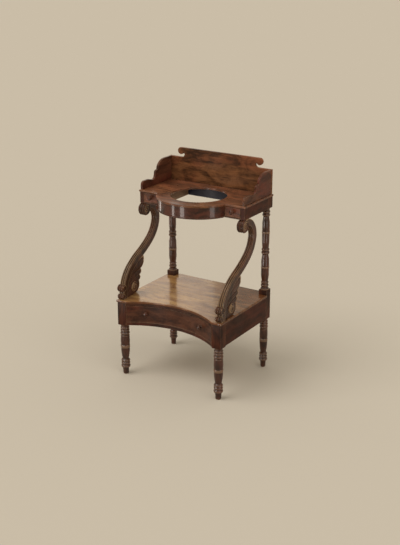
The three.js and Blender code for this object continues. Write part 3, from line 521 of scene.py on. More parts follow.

# %% [markdown]
# ## A recipe for polished wood
# Every finish is the same recipe with its own values: turn the coordinates so that the grain
# runs along the piece, take colour from the figure, lighten it on rubbed arrises, where the pale
# colour is also a painted highlight, and lay a clear polish over it as the shader's coat. The
# polish is what catches the soft window-like light, so its roughness matters more than the
# colour. One function writes the recipe down, and the groups above stay shared by all materials
# that it makes.

# %% A recipe for polished wood
DARK_WAX = linear(20, 12, 9)
GREY_DUST = linear(176, 160, 138)
rubbed_highlight_radius = 2.4 * MM
pore_depth = 0.12 * MM
fade_and_sheen_start = 0.02
fade_and_sheen_reach = 0.22
SMEAR_SCALE = (18.0, 18.0, 18.0)
SMEAR_SHARES = (0.8, 1.25)
GRAIN_ORDER = {"x": ("X", "Y", "Z"), "y": ("Y", "X", "Z"), "z": ("Z", "X", "Y")}


def place_group(tree, group, **values):
    """A group's node, with its inputs given by name as constants or sockets."""
    made = tree.nodes.new("ShaderNodeGroup")
    made.node_tree = group
    for key, value in values.items():
        socket = made.inputs[key.capitalize()]
        if isinstance(value, bpy.types.NodeSocket):
            tree.links.new(value, socket)
        else:
            socket.default_value = value
    return made


def mahogany(name, pale, dark, red, grain, shift, ribbon=0.8, mottle=0.9, rough=0.34, gloss=0.12,
             coat=0.0, coat_rough=0.12, worn_and_highlight=(150, 118, 92), edge_wear_and_highlight=0.6, dust=0.05, relief=0.0,
             crest_level=0.51, faded_and_sheen=None, painted_navy_shade=None):
    """A polished mahogany. Colours are as on a screen; grain names the axis it runs along."""
    material = bpy.data.materials.new(name)
    material.use_nodes = True
    tree = material.node_tree
    shader = tree.nodes["Principled BSDF"]
    across = add(tree, "SeparateXYZ", {0: add(tree, "TexCoord").outputs["Object"]}).outputs
    turned = add(tree, "CombineXYZ", dict(enumerate(across[a] for a in GRAIN_ORDER[grain]))).outputs[0]
    moved = add(tree, "VectorMath", {0: turned, 1: shift}, operation="ADD").outputs[0]

    def figured(pale, dark, red):
        return place_group(
            tree, mahogany_figure, vector=moved, pale=linear(*pale), dark=linear(*dark),
            red=linear(*red), ribbon=ribbon, mottle=mottle,
        )

    figure = figured(pale, dark, red)
    colour = figure.outputs["Color"]
    # The upper face turns paler towards the front left: partly sun fading, partly a painted sheen.
    if faded_and_sheen:
        faded_and_sheen_colour = figured(*faded_and_sheen).outputs["Color"]
        light = place_group(tree, sun_fade_and_sheen, start=fade_and_sheen_start, reach=fade_and_sheen_reach)
        colour = blended(tree, light.outputs["Mask"], colour, faded_and_sheen_colour)
    # Faces that look to the front blend to a flat navy colour: this is painted shade.
    if painted_navy_shade:
        facing = add(tree, "SeparateXYZ", {0: add(tree, "NewGeometry").outputs["Normal"]}).outputs["Y"]
        colour = blended(tree, spread(tree, facing, -0.5, -0.9), colour, linear(*painted_navy_shade))
    # This pale colour is rubbed polish and also a painted highlight, on arrises and crests.
    bright = linear(*worn_and_highlight)
    if relief:
        # Hollows go dark with wax; crests take the pale colour as rubbed polish and painted highlight.
        carving = place_group(tree, carved_highlight_and_wax, strength=relief, level=crest_level)
        colour = blended(tree, carving.outputs["Hollow"], colour, DARK_WAX)
        colour = blended(tree, carving.outputs["Crest"], colour, bright)
    # Arrises take the pale colour: rubbed polish and a painted highlight.
    edges = place_group(tree, rubbed_and_highlit_edges, radius=rubbed_highlight_radius, patchy=0.5).outputs["Mask"]
    colour = blended(tree, calculate(tree, "MULTIPLY", edges, edge_wear_and_highlight), colour, bright)
    veil = place_group(tree, settled_dust, amount=dust).outputs["Mask"]
    colour = blended(tree, veil, colour, GREY_DUST)
    tree.links.new(colour, shader.inputs["Base Color"])
    smear = noise(tree, scaled(tree, turned, SMEAR_SCALE), 3.0)
    rough_here = spread(tree, smear, 0.3, 0.7, *(rough * share for share in SMEAR_SHARES))
    rough_here = calculate(tree, "ADD", rough_here, calculate(tree, "MULTIPLY", veil, 0.6))
    tree.links.new(rough_here, shader.inputs["Roughness"])
    ridges = calculate(tree, "MULTIPLY", figure.outputs["Streak"], 0.3)
    depth = calculate(tree, "SUBTRACT", ridges, figure.outputs["Pores"])
    bump = add(tree, "Bump", {"Height": depth, "Strength": 0.25, "Distance": pore_depth})
    tree.links.new(bump.outputs["Normal"], shader.inputs["Normal"])
    shader.inputs["Specular IOR Level"].default_value = gloss
    shader.inputs["Coat Weight"].default_value = coat
    shader.inputs["Coat Roughness"].default_value = coat_rough
    return material


def softwood(name, pale, dark, grain, shift):
    """Plain deal, planed and never polished, grey with age."""
    return mahogany(name, pale, dark, (178, 140, 96), grain, shift, ribbon=1.0, mottle=0.4, rough=0.7,
                    worn_and_highlight=(150, 124, 90), edge_wear_and_highlight=0.3, dust=0.2)


print("the recipe shares", len(bpy.data.node_groups), "groups")

# %% [markdown]
# ## The finishes
# Boards of one tree differ, and so do their lives: the shelf is faded by the sun and carries a
# painted sheen on its left front, the turned work and the carving hold more wax and polish and
# carry painted highlights on their crests and arrises, the back rail's front face gets a painted
# navy shade, and the linings were never polished at all. So each kind of piece gets its own
# values, and a shift that cuts its figure from another place in the wood. Three colours stand for
# the palest wood, the darkest and the reddest.

# %% The finishes
TURNED = dict(pale=(88, 50, 33), dark=(35, 19, 13), red=(90, 41, 27), grain="z", shift=(0.3, 0.1, 0.7))
finish = {
    "turned": mahogany("turned_mahogany", worn_and_highlight=(158, 126, 98), edge_wear_and_highlight=0.4, relief=0.6, gloss=0.18,
                       coat=0.52, coat_rough=0.1, **TURNED),
    "block": mahogany("leg_block_mahogany", worn_and_highlight=(130, 96, 72), edge_wear_and_highlight=0.35, gloss=0.08, **TURNED),
    "knob": mahogany("knob_mahogany", (108, 62, 45), (48, 27, 20), (108, 50, 35), "y", (0.2, 0.5, 0.9),
                     worn_and_highlight=(150, 114, 88), relief=0.4, edge_wear_and_highlight=0.3, rough=0.26, gloss=0.12, coat=0.3),
    "carved": mahogany("carved_mahogany", (84, 48, 32), (37, 20, 14), (84, 39, 27), "z",
                       (0.9, 0.4, 0.2), worn_and_highlight=(166, 134, 100), edge_wear_and_highlight=0.8, relief=0.8, crest_level=0.53,
                       gloss=0.06, coat=0.4),
    "reeded": mahogany("reeded_mahogany", (84, 50, 33), (38, 22, 15), (84, 42, 29), "z",
                       (0.9, 0.4, 0.2), worn_and_highlight=(184, 152, 112), edge_wear_and_highlight=0.8, relief=0.75, crest_level=0.516,
                       gloss=0.08, coat=0.4),
    "side": mahogany("side_mahogany", (80, 47, 32), (45, 25, 18), (79, 39, 27), "y", (0.2, 0.8, 0.5),
                     gloss=0.07),
    "rail": mahogany("rail_mahogany", (88, 55, 39), (46, 28, 21), (86, 46, 34), "x", (0.6, 0.3, 0.9)),
    # The back rail's front face, seen through the basin hole, gets a painted navy shade.
    "inner_rail": mahogany("back_rail_painted_shade", (88, 55, 39), (46, 28, 21), (86, 46, 34), "x",
                           (0.6, 0.7, 0.9), painted_navy_shade=(34, 34, 52), edge_wear_and_highlight=0.3),
    "bow": mahogany("bow_mahogany", (92, 57, 41), (46, 28, 21), (90, 48, 35), "x", (0.1, 0.9, 0.4),
                    rough=0.26, gloss=0.1, coat=0.36, coat_rough=0.05),
    "top": mahogany("top_mahogany", (138, 91, 59), (78, 48, 33), (134, 80, 54), "x", (0.5, 0.2, 0.3),
                    rough=0.3, gloss=0.16, coat=0.15, coat_rough=0.1),
    # The faded colours on the shelf's upper face are sun fading and a painted sheen.
    "shelf": mahogany("faded_shelf_with_sheen", (120, 76, 43), (78, 45, 24), (106, 62, 34), "x",
                      (0.8, 0.6, 0.1), ribbon=1.4, mottle=1.0, rough=0.24, gloss=0.12, coat=0.38,
                      coat_rough=0.08, worn_and_highlight=(206, 178, 140), edge_wear_and_highlight=0.7,
                      faded_and_sheen=((170, 132, 83), (118, 80, 46), (150, 109, 65))),
    "figured": mahogany("figured_splashboard", (132, 88, 57), (58, 37, 24), (138, 83, 55), "x",
                        (0.16, 0.2, 0.1), ribbon=0.7, mottle=1.1, worn_and_highlight=(160, 134, 108), edge_wear_and_highlight=0.6,
                        rough=0.28, gloss=0.05),
    "gallery": mahogany("gallery_mahogany", (108, 68, 48), (58, 33, 24), (104, 52, 37), "y",
                        (0.4, 0.5, 0.6), worn_and_highlight=(166, 140, 114), edge_wear_and_highlight=0.9),
    "drawer": mahogany("drawer_front_mahogany", (96, 60, 44), (50, 30, 23), (94, 51, 38), "x",
                       (0.4, 0.3, 0.2), mottle=0.9, rough=0.3, gloss=0.12),
    "small_drawer": mahogany("small_drawer_front_mahogany", (124, 79, 57), (68, 41, 31), (120, 67, 49),
                             "x", (0.2, 0.4, 0.2), mottle=1.1, rough=0.3, gloss=0.12),
    "lining": mahogany("lining_mahogany", (158, 132, 106), (96, 74, 58), (140, 108, 84), "y",
                       (0.3, 0.6, 0.2), rough=0.5),
    "deal_long": softwood("deal_lengthwise", (188, 156, 112), (138, 104, 68), "y", (0.2, 0.3, 0.5)),
    "deal_cross": softwood("deal_crosswise", (184, 152, 110), (134, 102, 68), "x", (0.5, 0.1, 0.8)),
    "peg": softwood("peg_wood", (176, 142, 98), (128, 96, 62), "z", (0.9, 0.2, 0.6)),
}
print("finishes:", len(finish))

# %% [markdown]
# ## Turned feet and columns
# The turner cuts beads, fillets and long vases into a square blank and leaves square blocks
# where rails enter. The profile is a short table: where a stretch ends, how wide it is there and
# what form it has. A screw modifier would spin it too, but here each stretch sets its own number
# of steps, so beads stay round and long swells stay light. Height and radius are shares of the
# blank's own size.

# %% Turned work
TURNED_SIDES = 56
BEAD_ROUND_SHARE = 0.21
FORM_STEPS = {"flat": 1, "bead": 8, "ease": 12, "swell": 14}
BLENDS = {
    "flat": lambda along: along,
    "bead": lambda along: along,
    "ease": lambda along: (1 - math.cos(math.pi * along)) / 2,
    "swell": lambda along: math.sin(QUARTER_TURN * along),
}

foot_shares = [
    (0, 0.52, "flat"), (0.014, 0.6, "flat"), (0.13, 0.67, "flat"), (0.135, 0.86, "flat"),
    (0.188, 0.86, "bead"), (0.196, 0.82, "flat"), (0.244, 0.84, "bead"), (0.252, 0.8, "flat"),
    (0.262, 0.93, "flat"), (0.308, 0.68, "bead"), (0.53, 0.94, "swell"), (0.536, 0.98, "flat"),
    (0.588, 0.98, "flat"), (0.594, 0.94, "flat"), (0.67, 0.98, "ease"), (0.77, 0.94, "ease"),
    (0.795, 0.8, "bead"), (0.802, 0.88, "flat"), (0.852, 0.9, "bead"), (0.86, 0.83, "flat"),
    (0.908, 0.88, "bead"), (0.916, 0.82, "flat"), (0.956, 0.88, "bead"), (0.964, 0.79, "flat"),
    (1, 0.84, "flat"),
]
column_shares = [
    (0, 0.98, "flat"), (0.01, 0.98, "flat"), (0.03, 0.82, "ease"), (0.036, 0.82, "flat"),
    (0.066, 0.82, "bead"), (0.072, 0.77, "flat"), (0.1, 0.8, "bead"), (0.108, 0.75, "flat"),
    (0.19, 0.93, "swell"), (0.262, 0.92, "ease"), (0.266, 0.97, "flat"), (0.286, 0.97, "flat"),
    (0.29, 0.92, "flat"), (0.36, 0.92, "flat"), (0.435, 0.75, "ease"), (0.441, 0.84, "flat"),
    (0.471, 0.84, "bead"), (0.477, 0.78, "flat"), (0.507, 0.84, "bead"), (0.513, 0.74, "flat"),
    (0.6, 0.87, "swell"), (0.69, 0.88, "ease"), (0.694, 0.93, "flat"), (0.714, 0.93, "flat"),
    (0.718, 0.88, "flat"), (0.81, 0.87, "flat"), (0.895, 0.71, "ease"), (0.901, 0.8, "flat"),
    (0.929, 0.8, "bead"), (0.935, 0.74, "flat"), (0.965, 0.82, "bead"), (0.971, 0.74, "flat"),
    (1, 0.82, "flat"),
]


def ring(centre, radius, level, sides=TURNED_SIDES):
    """Points round an upright axis at one level."""
    return [
        (centre.x + radius * math.cos(t), centre.y + radius * math.sin(t), level)
        for t in round_turns(sides)
    ]


def turning(shares, centre, radius, low, high):
    """A closed skin for a turned stretch from one height to another."""
    height = high - low
    low_share, low_radius, _ = shares[0]
    rows = [ring(centre, radius * low_radius, low)]
    for end_share, end_radius, form in shares[1:]:
        rise = (end_share - low_share) * height
        for step in range(1, FORM_STEPS[form] + 1):
            along = step / FORM_STEPS[form]
            wide = radius * (low_radius + (end_radius - low_radius) * BLENDS[form](along))
            if form == "bead":
                wide += math.sin(math.pi * along) * rise * BEAD_ROUND_SHARE
            rows.append(ring(centre, min(wide, radius), low + low_share * height + rise * along))
        low_share, low_radius = end_share, end_radius
    return capped(rows)


def square_block(centre, half, low, high):
    """The part of a leg that was left square for the joints."""
    outline = box_outline(centre.x - half, centre.x + half, centre.y - half, centre.y + half)
    return edged_board(outline, low, high, arris["block"], in_plan)


leg_half = (leg_high.x - leg_low.x) / 2
post_half = (post_high.x - post_low.x) / 2
for side, sign in (("left", -1), ("right", 1)):
    leg_centre = Vector((sign * (leg_low.x + leg_half), leg_low.y + leg_half, 0))
    leg = make_piece(
        "turned_leg_" + side,
        turning(foot_shares, leg_centre, leg_half, 0, foot_height),
        second=[square_block(leg_centre, leg_half, foot_height, shelf_low.z)],
    )
    seat(leg, "frame", "mahogany_turned", "front_leg_" + side, finish["turned"], finish["block"])
    post_centre = Vector((sign * (post_low.x + post_half), post_low.y + post_half, 0))
    block_top = shelf_high.z + block_above_shelf
    post = make_piece(
        "turned_post_" + side,
        turning(foot_shares, post_centre, post_half, 0, foot_height),
        turning(column_shares, post_centre, post_half, block_top, case_bottom),
        second=[
            square_block(post_centre, post_half, foot_height, block_top),
            square_block(post_centre, post_half, case_bottom, post_high.z),
        ],
    )
    seat(post, "frame", "mahogany_turned", "rear_post_" + side, finish["turned"], finish["block"])

# %% [markdown]
# ## The hollow base
# The shelf and the rails under it follow one big arc, so that someone can stand close to the
# basin. All of them are boards drawn in plan: the shelf overhangs the rails a little and its
# edge is more rounded, because it is what hands and jugs meet.

# %% Shelf and hollow rails
def hollow_strip(front_radius, back_radius, half_span):
    """A strip in plan between two arcs round the centre of the hollow."""
    front_turn = math.asin(half_span / front_radius)
    back_turn = math.asin(half_span / back_radius)
    front = middle_arc(hollow_centre, front_radius, QUARTER_TURN, front_turn)
    back = middle_arc(hollow_centre, back_radius, QUARTER_TURN, -back_turn)
    return front + back


def shelf_outline():
    """The shelf in plan: hollow in front, notched round the posts at the back."""
    edge = shelf_high.x
    radius = hollow_radius - shelf_overhang
    turn = math.acos((shelf_low.y - hollow_centre) / radius)
    notch_x = post_low.x - joint_gap
    notch_y = post_low.y - joint_gap
    front = middle_arc(hollow_centre, radius, QUARTER_TURN, turn)
    right = [(edge, shelf_low.y), (edge, notch_y), (notch_x, notch_y), (notch_x, shelf_high.y)]
    left = [(-x, y) for x, y in reversed(right)]
    return front + right + left


shelf_board = edged_board(shelf_outline(), shelf_low.z, shelf_high.z, arris["shelf"], in_plan)
shelf = make_piece("shelf", shelf_board)
seat(weighted(shelf), "frame", "mahogany_faded", "shelf_board", finish["shelf"])
for name in ("lower_front_top_rail", "lower_front_bottom_rail"):
    low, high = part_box(name)
    strip = hollow_strip(hollow_radius, hollow_radius + rail_depth, leg_inner)
    board = edged_board(strip, low.z, high.z, arris["rail"], in_plan)
    rail = make_piece(name.replace("lower_front", "hollow"), board)
    seat(weighted(rail), "frame", "mahogany_dark", name, finish["rail"])

# %% [markdown]
# ## Drawer fronts
# Each front is a board with a thin half-round bead round its face. The bead is a loop: the same
# rectangle offset step by step while it rises off the face, with the last ring joined to the
# first. On the long drawer the loop's flat coordinates are wrapped onto the hollow arc.

# %% Drawer fronts
bead_width = 2.5 * MM
bead_proud = 1.2 * MM
BEAD_STEPS = 6


def bead_loop(outline, place):
    """A half-round bead along the inside of an outline, sunk a little into the face."""
    turns = [math.pi * i / BEAD_STEPS for i in range(BEAD_STEPS + 1)]
    half = bead_width / 2
    profile = [(half - half * math.cos(t), bead_proud * math.sin(t)) for t in turns]
    profile += [(bead_width, -bead_proud), (0, -bead_proud)]
    points = [place(u, v, rise) for way, rise in profile for u, v in inset(outline, way)]
    return points, bridge(len(profile), len(outline), round_again=True)


def on_hollow(u, v, rise):
    """A place on the hollow face: distance along it, height, and distance off it."""
    radius = hollow_radius - rise
    turn = u / hollow_radius
    return radius * math.sin(turn), hollow_centre + radius * math.cos(turn), v


def along_edges(low_u, high_u, low_v, high_v, steps):
    """A rectangle whose lower and upper sides are divided, so that they can bend."""
    across = [low_u + (high_u - low_u) * i / steps for i in range(steps + 1)]
    return [(u, low_v) for u in across] + [(u, high_v) for u in reversed(across)]


front_low, front_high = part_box("lower_drawer_front")
front_half = front_high.x
face_half = hollow_radius * math.asin(front_half / hollow_radius)
long_body = edged_board(
    hollow_strip(hollow_radius, hollow_radius + drawer_front_thickness, front_half),
    front_low.z, front_high.z, arris["drawer"], in_plan,
)
long_outline = along_edges(-face_half, face_half, front_low.z, front_high.z, ARC_STEPS)
long_bead = bead_loop(long_outline, on_hollow)
long_front = weighted(make_piece("long_drawer_face", long_body, long_bead))
seat(long_front, "lower_drawer", "mahogany_red", "lower_drawer_front", finish["drawer"])

for side in ("left", "right"):
    low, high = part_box(side + "_drawer_front")
    face = low.y + bead_proud
    outline = box_outline(low.x, high.x, low.z, high.z)
    body = edged_board(outline, face, high.y, arris["drawer"], in_front_view)
    bead = bead_loop(outline, lambda u, v, rise: (u, face - rise, v))
    front = weighted(make_piece(side + "_drawer_face", body, bead))
    seat(front, side + "_drawer", "mahogany_red", side + "_drawer_front", finish["small_drawer"])

# %% [markdown]
# ## Knobs
# Small mushroom knobs, turned on their own. The table gives the radius along the knob, and a
# smooth curve through it gives the rings, so there are no kinks in the dome.

# %% Knobs
knob_radius = 9.5 * MM
knob_length = 20 * MM
knob_reach = 135 * MM
knob_tip = 0.2 * MM
KNOB_SIDES = 32
KNOB_STEPS = 4
knob_shares = [
    (0, 0.62), (0.04, 0.64), (0.1, 0.58), (0.24, 0.44), (0.4, 0.56), (0.5, 0.82), (0.57, 0.97),
    (0.66, 1), (0.78, 0.93), (0.88, 0.74), (0.96, 0.44), (1, 0.05),
]


def smooth_through(points, steps):
    """A centripetal curve through points, with a number of steps between each pair."""
    points = [Vector(p) for p in points]
    points = [2 * points[0] - points[1]] + points + [2 * points[-1] - points[-2]]
    curve = []
    for before, start, end, after in zip(points, points[1:], points[2:], points[3:]):
        times = [0.0]
        for first, second in ((before, start), (start, end), (end, after)):
            times.append(times[-1] + max((second - first).length, 1e-9) ** 0.5)
        for step in range(steps):
            t = times[1] + (times[2] - times[1]) * step / steps
            ways = [
                first.lerp(second, (t - low) / (high - low))
                for first, second, low, high in zip(
                    (before, start, end), (start, end, after), times, times[1:]
                )
            ]
            left = ways[0].lerp(ways[1], (t - times[0]) / (times[2] - times[0]))
            right = ways[1].lerp(ways[2], (t - times[1]) / (times[3] - times[1]))
            curve.append(left.lerp(right, (t - times[1]) / (times[2] - times[1])))
    return curve + [points[-2]]


def knob_skin(seat_point, outward):
    """A knob that stands on a face and points outwards from it."""
    turn = Vector((0, 0, 1)).rotation_difference(outward)
    profile = [(share * knob_length, wide * knob_radius) for share, wide in knob_shares]
    rows = []
    for height, wide in smooth_through(profile, KNOB_STEPS):
        level = ring(Vector((0, 0, 0)), max(wide, knob_tip), height, KNOB_SIDES)
        rows.append([seat_point + turn @ Vector(p) for p in level])
    return capped(rows)


for side, sign in (("left", -1), ("right", 1)):
    low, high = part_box("lower_knob_" + side)
    turn = math.asin(sign * knob_reach / hollow_radius)
    depth = hollow_centre + hollow_radius * math.cos(turn)
    on_arc = Vector((sign * knob_reach, depth, (low.z + high.z) / 2))
    outward = Vector((-math.sin(turn), -math.cos(turn), 0))
    knob = make_piece("long_drawer_knob_" + side, knob_skin(on_arc, outward))
    seat(knob, "lower_drawer", "mahogany_turned", "lower_knob_" + side, finish["knob"])
    low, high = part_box(side + "_knob")
    middle = (low + high) / 2
    on_front = Vector((middle.x, case_front, middle.z))
    knob = make_piece("small_drawer_knob_" + side, knob_skin(on_front, Vector((0, -1, 0))))
    seat(knob, side + "_drawer", "mahogany_turned", side + "_knob", finish["knob"])

# %% [markdown]
# ## Scroll brackets
# The bracket takes the most skill: a stem that bends like an S, with three reeds carved along
# its front, rolls under the case into a volute and ends on the shelf in two small rolls. The
# stem is a section carried along a curve. A curve object with a bevel would do that too, but
# then the reeds couldn't be kept square to the sides, so the rows are laid one by one: at each
# station the section stands square to the curve.

# %% Stem and rolls
bracket_thickness = bracket_high.x - bracket_low.x
stem_depth = 29 * MM
reed_depth = 3.4 * MM
roll_proud = 1.8 * MM
roll_dish = 0.8 * roll_proud
stem_arris = 3 * MM
arris_cut = 0.9 * MM
beside_reeds = 1.5 * MM
beside_arris = 2 * MM
stem_behind_case_front = 89 * MM
REED_COUNT = 3
REED_STEPS = 8
STEM_STEPS = 9
ROLL_SIDES = 40
stem_reach = case_front + stem_behind_case_front - frame_front
stem_rise = bracket_high.z - shelf_high.z - stem_depth / 2
stem_shares = [
    (0.707, 1.004), (0.812, 0.996), (0.91, 0.957), (0.985, 0.874), (1, 0.802), (0.955, 0.697),
    (0.853, 0.603), (0.654, 0.501), (0.429, 0.415), (0.233, 0.307), (0.128, 0.183), (0.083, -0.01),
]
# A roll's dished end from its middle out, as (share of the dish's depth, share of the radius).
dish_shares = [(1, 0.1), (1, 0.3), (1, 0.5), (0.92, 0.6), (0.5, 0.67), (0.08, 0.72), (0, 0.77)]


def bracket_place(shares):
    """A place in the bracket's side view, from shares of its reach and height."""
    return Vector((frame_front + shares[0] * stem_reach, shelf_high.z + shares[1] * stem_rise))


def reeds(width):
    """The front of the reeding across a width, as (across, depth below the crests)."""
    steps = REED_COUNT * REED_STEPS
    return [
        (width / 2 - width * i / steps, reed_depth * (1 - abs(math.sin(math.pi * i / REED_STEPS))))
        for i in range(steps + 1)
    ]


stem_line = smooth_through([bracket_place(s) for s in stem_shares], STEM_STEPS)


def stem_skin(centre_x):
    """The stem, with reeds in front, flat sides and rounded arrises behind."""
    front = [(across, stem_depth / 2 - below) for across, below in reeds(bracket_thickness)]
    half = bracket_thickness / 2
    back = -stem_depth / 2
    # Extra rows beside the reeds and the arrises keep the flats between them flat.
    round_back = [
        (-half, -back - reed_depth - beside_reeds), (-half, 0),
        (-half, back + stem_arris + beside_arris), (-half, back + stem_arris),
        (-half + arris_cut, back + arris_cut), (-half + stem_arris, back),
        (-half + 2 * stem_arris, back),
    ]
    section = front + round_back + [(-across, forward) for across, forward in reversed(round_back)]
    rows = []
    for i, middle in enumerate(stem_line):
        along = (stem_line[min(i + 1, len(stem_line) - 1)] - stem_line[max(i - 1, 0)]).normalized()
        rows.append([
            (centre_x + across, middle.x + along.y * forward, middle.y - along.x * forward)
            for across, forward in section
        ])
    return capped(rows)


def upright_ring(x, centre, radius, sides):
    """Points round a centre in the bracket's side view, at one place across the stand."""
    return [
        (x, centre.x + radius * math.cos(t), centre.y + radius * math.sin(t))
        for t in round_turns(sides)
    ]


def roll_skin(centre_x, centre, radius, sides=ROLL_SIDES):
    """A short roll, a hair wider than the stem, with reeds round its rim and dished ends."""
    half = bracket_thickness / 2 + roll_proud
    profile = [(half - deep * roll_dish, radius * wide) for deep, wide in dish_shares]
    rim = [(across, radius - below) for across, below in reeds(2 * half)]
    profile += rim + [(-across, wide) for across, wide in reversed(profile)]
    return capped([upright_ring(centre_x + across, centre, wide, sides) for across, wide in profile])


print("stem stations:", len(stem_line))

# %% [markdown]
# ## The carved wing
# Behind the stem lies a leaf: its edge runs in lobes, and long gouge cuts rise from the foot of
# the stem and fan out to the lobes. A height map on a flat board would give only bumps inside a
# smooth outline. So the wing is a grid instead: one direction follows the lobed edge, the other
# rises from the foot, and the thickness swells and sinks across each lobe.

# %% The carved wing
wing_thickness = 18 * MM
lobe_bulge = 9 * MM
flute_depth = 2.6 * MM
vein_depth = 0.8 * MM
lobe_notch_shares = [(0.632, 0.415), (0.549, 0.271), (0.511, 0.205), (0.496, 0.138), (0.414, 0)]
thinnest_half = 1.5 * MM
wing_start_share = 0.63
edge_thinning_share = 0.3
CROWN_POWER = 0.6
FAN_POWER = 1.5
THINNING_POWER = 4
CUT_RISE = 1.4
VEIN_COUNT = 3
LOBE_STEPS = 21
RISE_STEPS = 30


def lobed_edge():
    """The wing's free edge from the top notch to the shelf, with each point's place in its lobe."""
    notches = [bracket_place(s) for s in lobe_notch_shares]
    edge = []
    for start, end in zip(notches, notches[1:]):
        chord = end - start
        bulge = min(2 * lobe_bulge, chord.length / 2) / chord.length
        control = (start + end) / 2 + Vector((-chord.y, chord.x)) * bulge
        for i in range(LOBE_STEPS):
            t = i / LOBE_STEPS
            edge.append((start.lerp(control, t).lerp(control.lerp(end, t), t), t))
    edge.append((notches[-1], 1.0))
    return edge


def along_stem(way):
    """A place on the stem's middle line, from its foot up to where the wing begins."""
    reach = (len(stem_line) - 1) * (1 - (1 - wing_start_share) * way)
    low = min(int(reach), len(stem_line) - 2)
    return stem_line[low].lerp(stem_line[low + 1], reach - low)


def wing_skin(centre_x):
    """Both faces of the leaf, joined along its free edge and inside the stem."""
    edge = lobed_edge()
    size = len(edge)
    foot = along_stem(0)
    columns = []
    for i, (outer, in_lobe) in enumerate(edge):
        down = i / (size - 1)
        end = along_stem(1).lerp(edge[-1][0], down)
        crown = math.sin(math.pi * in_lobe) ** CROWN_POWER
        vein = abs(math.sin(VEIN_COUNT * math.pi * in_lobe))
        column = []
        for j in range(RISE_STEPS + 1):
            way = j / RISE_STEPS
            point = along_stem(way).lerp(foot.lerp(edge[-1][0], way), down)
            point += (outer - end) * way ** FAN_POWER
            carve = math.sin(QUARTER_TURN * min(1, way * CUT_RISE))
            body = wing_thickness / 2 * (1 - edge_thinning_share * way ** THINNING_POWER)
            relief = (crown - 1) * flute_depth * carve + (vein - 1) * vein_depth * carve
            column.append((point, max(body + relief, thinnest_half)))
        columns.append(column)
    points = []
    for face in (1, -1):
        for column in columns:
            points += [
                (centre_x + face * thick, point.x, max(point.y, shelf_high.z)) for point, thick in column
            ]
    high = RISE_STEPS + 1
    other = size * high
    faces = []
    for i in range(size - 1):
        for j in range(RISE_STEPS):
            a = i * high + j
            faces.append((a, a + 1, a + high + 1, a + high))
            faces.append((other + a, other + a + high, other + a + high + 1, other + a + 1))
    rim = [i * high for i in range(size)]
    rim += [(size - 1) * high + j for j in range(1, high)]
    rim += [i * high + high - 1 for i in range(size - 2, -1, -1)]
    rim += [j for j in range(high - 2, 0, -1)]
    for a, b in zip(rim, rim[1:] + rim[:1]):
        faces.append((a, b, other + b, other + a))
    return points, faces


print("wing edge points:", len(lobed_edge()))

# %% [markdown]
# ## Curls and bosses
# On both faces of the bracket a curl is cut into the volute and into the leaf's foot, with a
# small gouge. A curve with a round bevel and a taper would make one too, but as a tube of rings
# it joins the other skins in one mesh. It winds inwards, gets thinner on the way and ends at a
# low round eye.

# %% Curls and bosses
wound_in_share = 0.86
tapered_share = 0.55
CURL_STEPS = 28
CURL_SIDES = 10
DOME_SIDES = 36
# A dome from its foot to its crown, as (share of the radius, share of the height).
dome_shares = [
    (1, -0.8), (1, 0), (0.98, 0.3), (0.93, 0.55), (0.86, 0.72), (0.76, 0.83), (0.64, 0.9), (0.5, 0.95),
    (0.36, 0.98), (0.22, 1), (0.1, 1), (0.03, 1),
]


def curl_skin(x, face, centre, radius, turns, thick, start_turn):
    """A tapering tube that winds inwards on one face of the bracket."""
    steps = int(turns * CURL_STEPS)
    rows = []
    for i in range(steps + 1):
        way = i / steps
        turn = start_turn + 2 * math.pi * turns * way
        reach = radius * (1 - wound_in_share * way)
        wide = thick * (1 - tapered_share * way)
        outward = Vector((math.cos(turn), math.sin(turn)))
        rows.append([
            (x + face * wide * math.sin(t), centre.x + outward.x * (reach + wide * math.cos(t)),
             centre.y + outward.y * (reach + wide * math.cos(t)))
            for t in round_turns(CURL_SIDES)
        ])
    return capped(rows)


def dome_skin(x, face, centre, radius, proud):
    """A low round boss on one face of the bracket, never lower than the shelf."""
    rows = []
    for wide, rise in dome_shares:
        level = upright_ring(x + face * proud * rise, centre, radius * wide, DOME_SIDES)
        rows.append([(across, forward, max(height, shelf_high.z)) for across, forward, height in level])
    return capped(rows)


print("rings of a dome:", len(dome_shares))

# %% [markdown]
# ## Putting a bracket together
# The real bracket is cut from one plank, so here all its skins go into one object. They overlap
# a little instead of being welded: a boolean union would cost the neat rows that the crest and
# hollow masks read. The stem is a second set of skins with a finish of its own, because its
# reeds are rubbed paler than the leaf, and their crests carry a brighter painted highlight.

# %% Put the brackets together
volute_radius = 27 * MM
volute_behind_case_front = 10 * MM
volute_centre = Vector((case_front + volute_behind_case_front, case_bottom - volute_radius))
VOLUTE_SIDES = 64


def on_foot(behind_front, above_shelf):
    """A place in the bracket's side view, measured from the shelf's front corner."""
    return Vector((frame_front + behind_front, shelf_high.z + above_shelf))


upper_roll = (on_foot(15 * MM, 48 * MM), 16 * MM)
lower_roll = (on_foot(13 * MM, 12 * MM), 12 * MM)
boss_centre = on_foot(92 * MM, 33 * MM)
boss = dict(radius=21 * MM, proud=2.5 * MM)
boss_face = wing_thickness / 2
boss_curl = dict(radius=0.9 * boss["radius"], turns=1.7, thick=3 * MM, start_turn=0.6 * math.pi)
boss_curl_face = boss_face + 2 * MM
boss_eye = dict(radius=5 * MM, proud=4 * MM)
volute_curl = dict(radius=0.62 * volute_radius, turns=1.75, thick=2 * MM, start_turn=0.3 * math.pi)
volute_face = bracket_thickness / 2 + roll_proud - roll_dish
volute_eye = dict(radius=4.5 * MM, proud=3 * MM)
bracket_x = (bracket_low.x + bracket_high.x) / 2

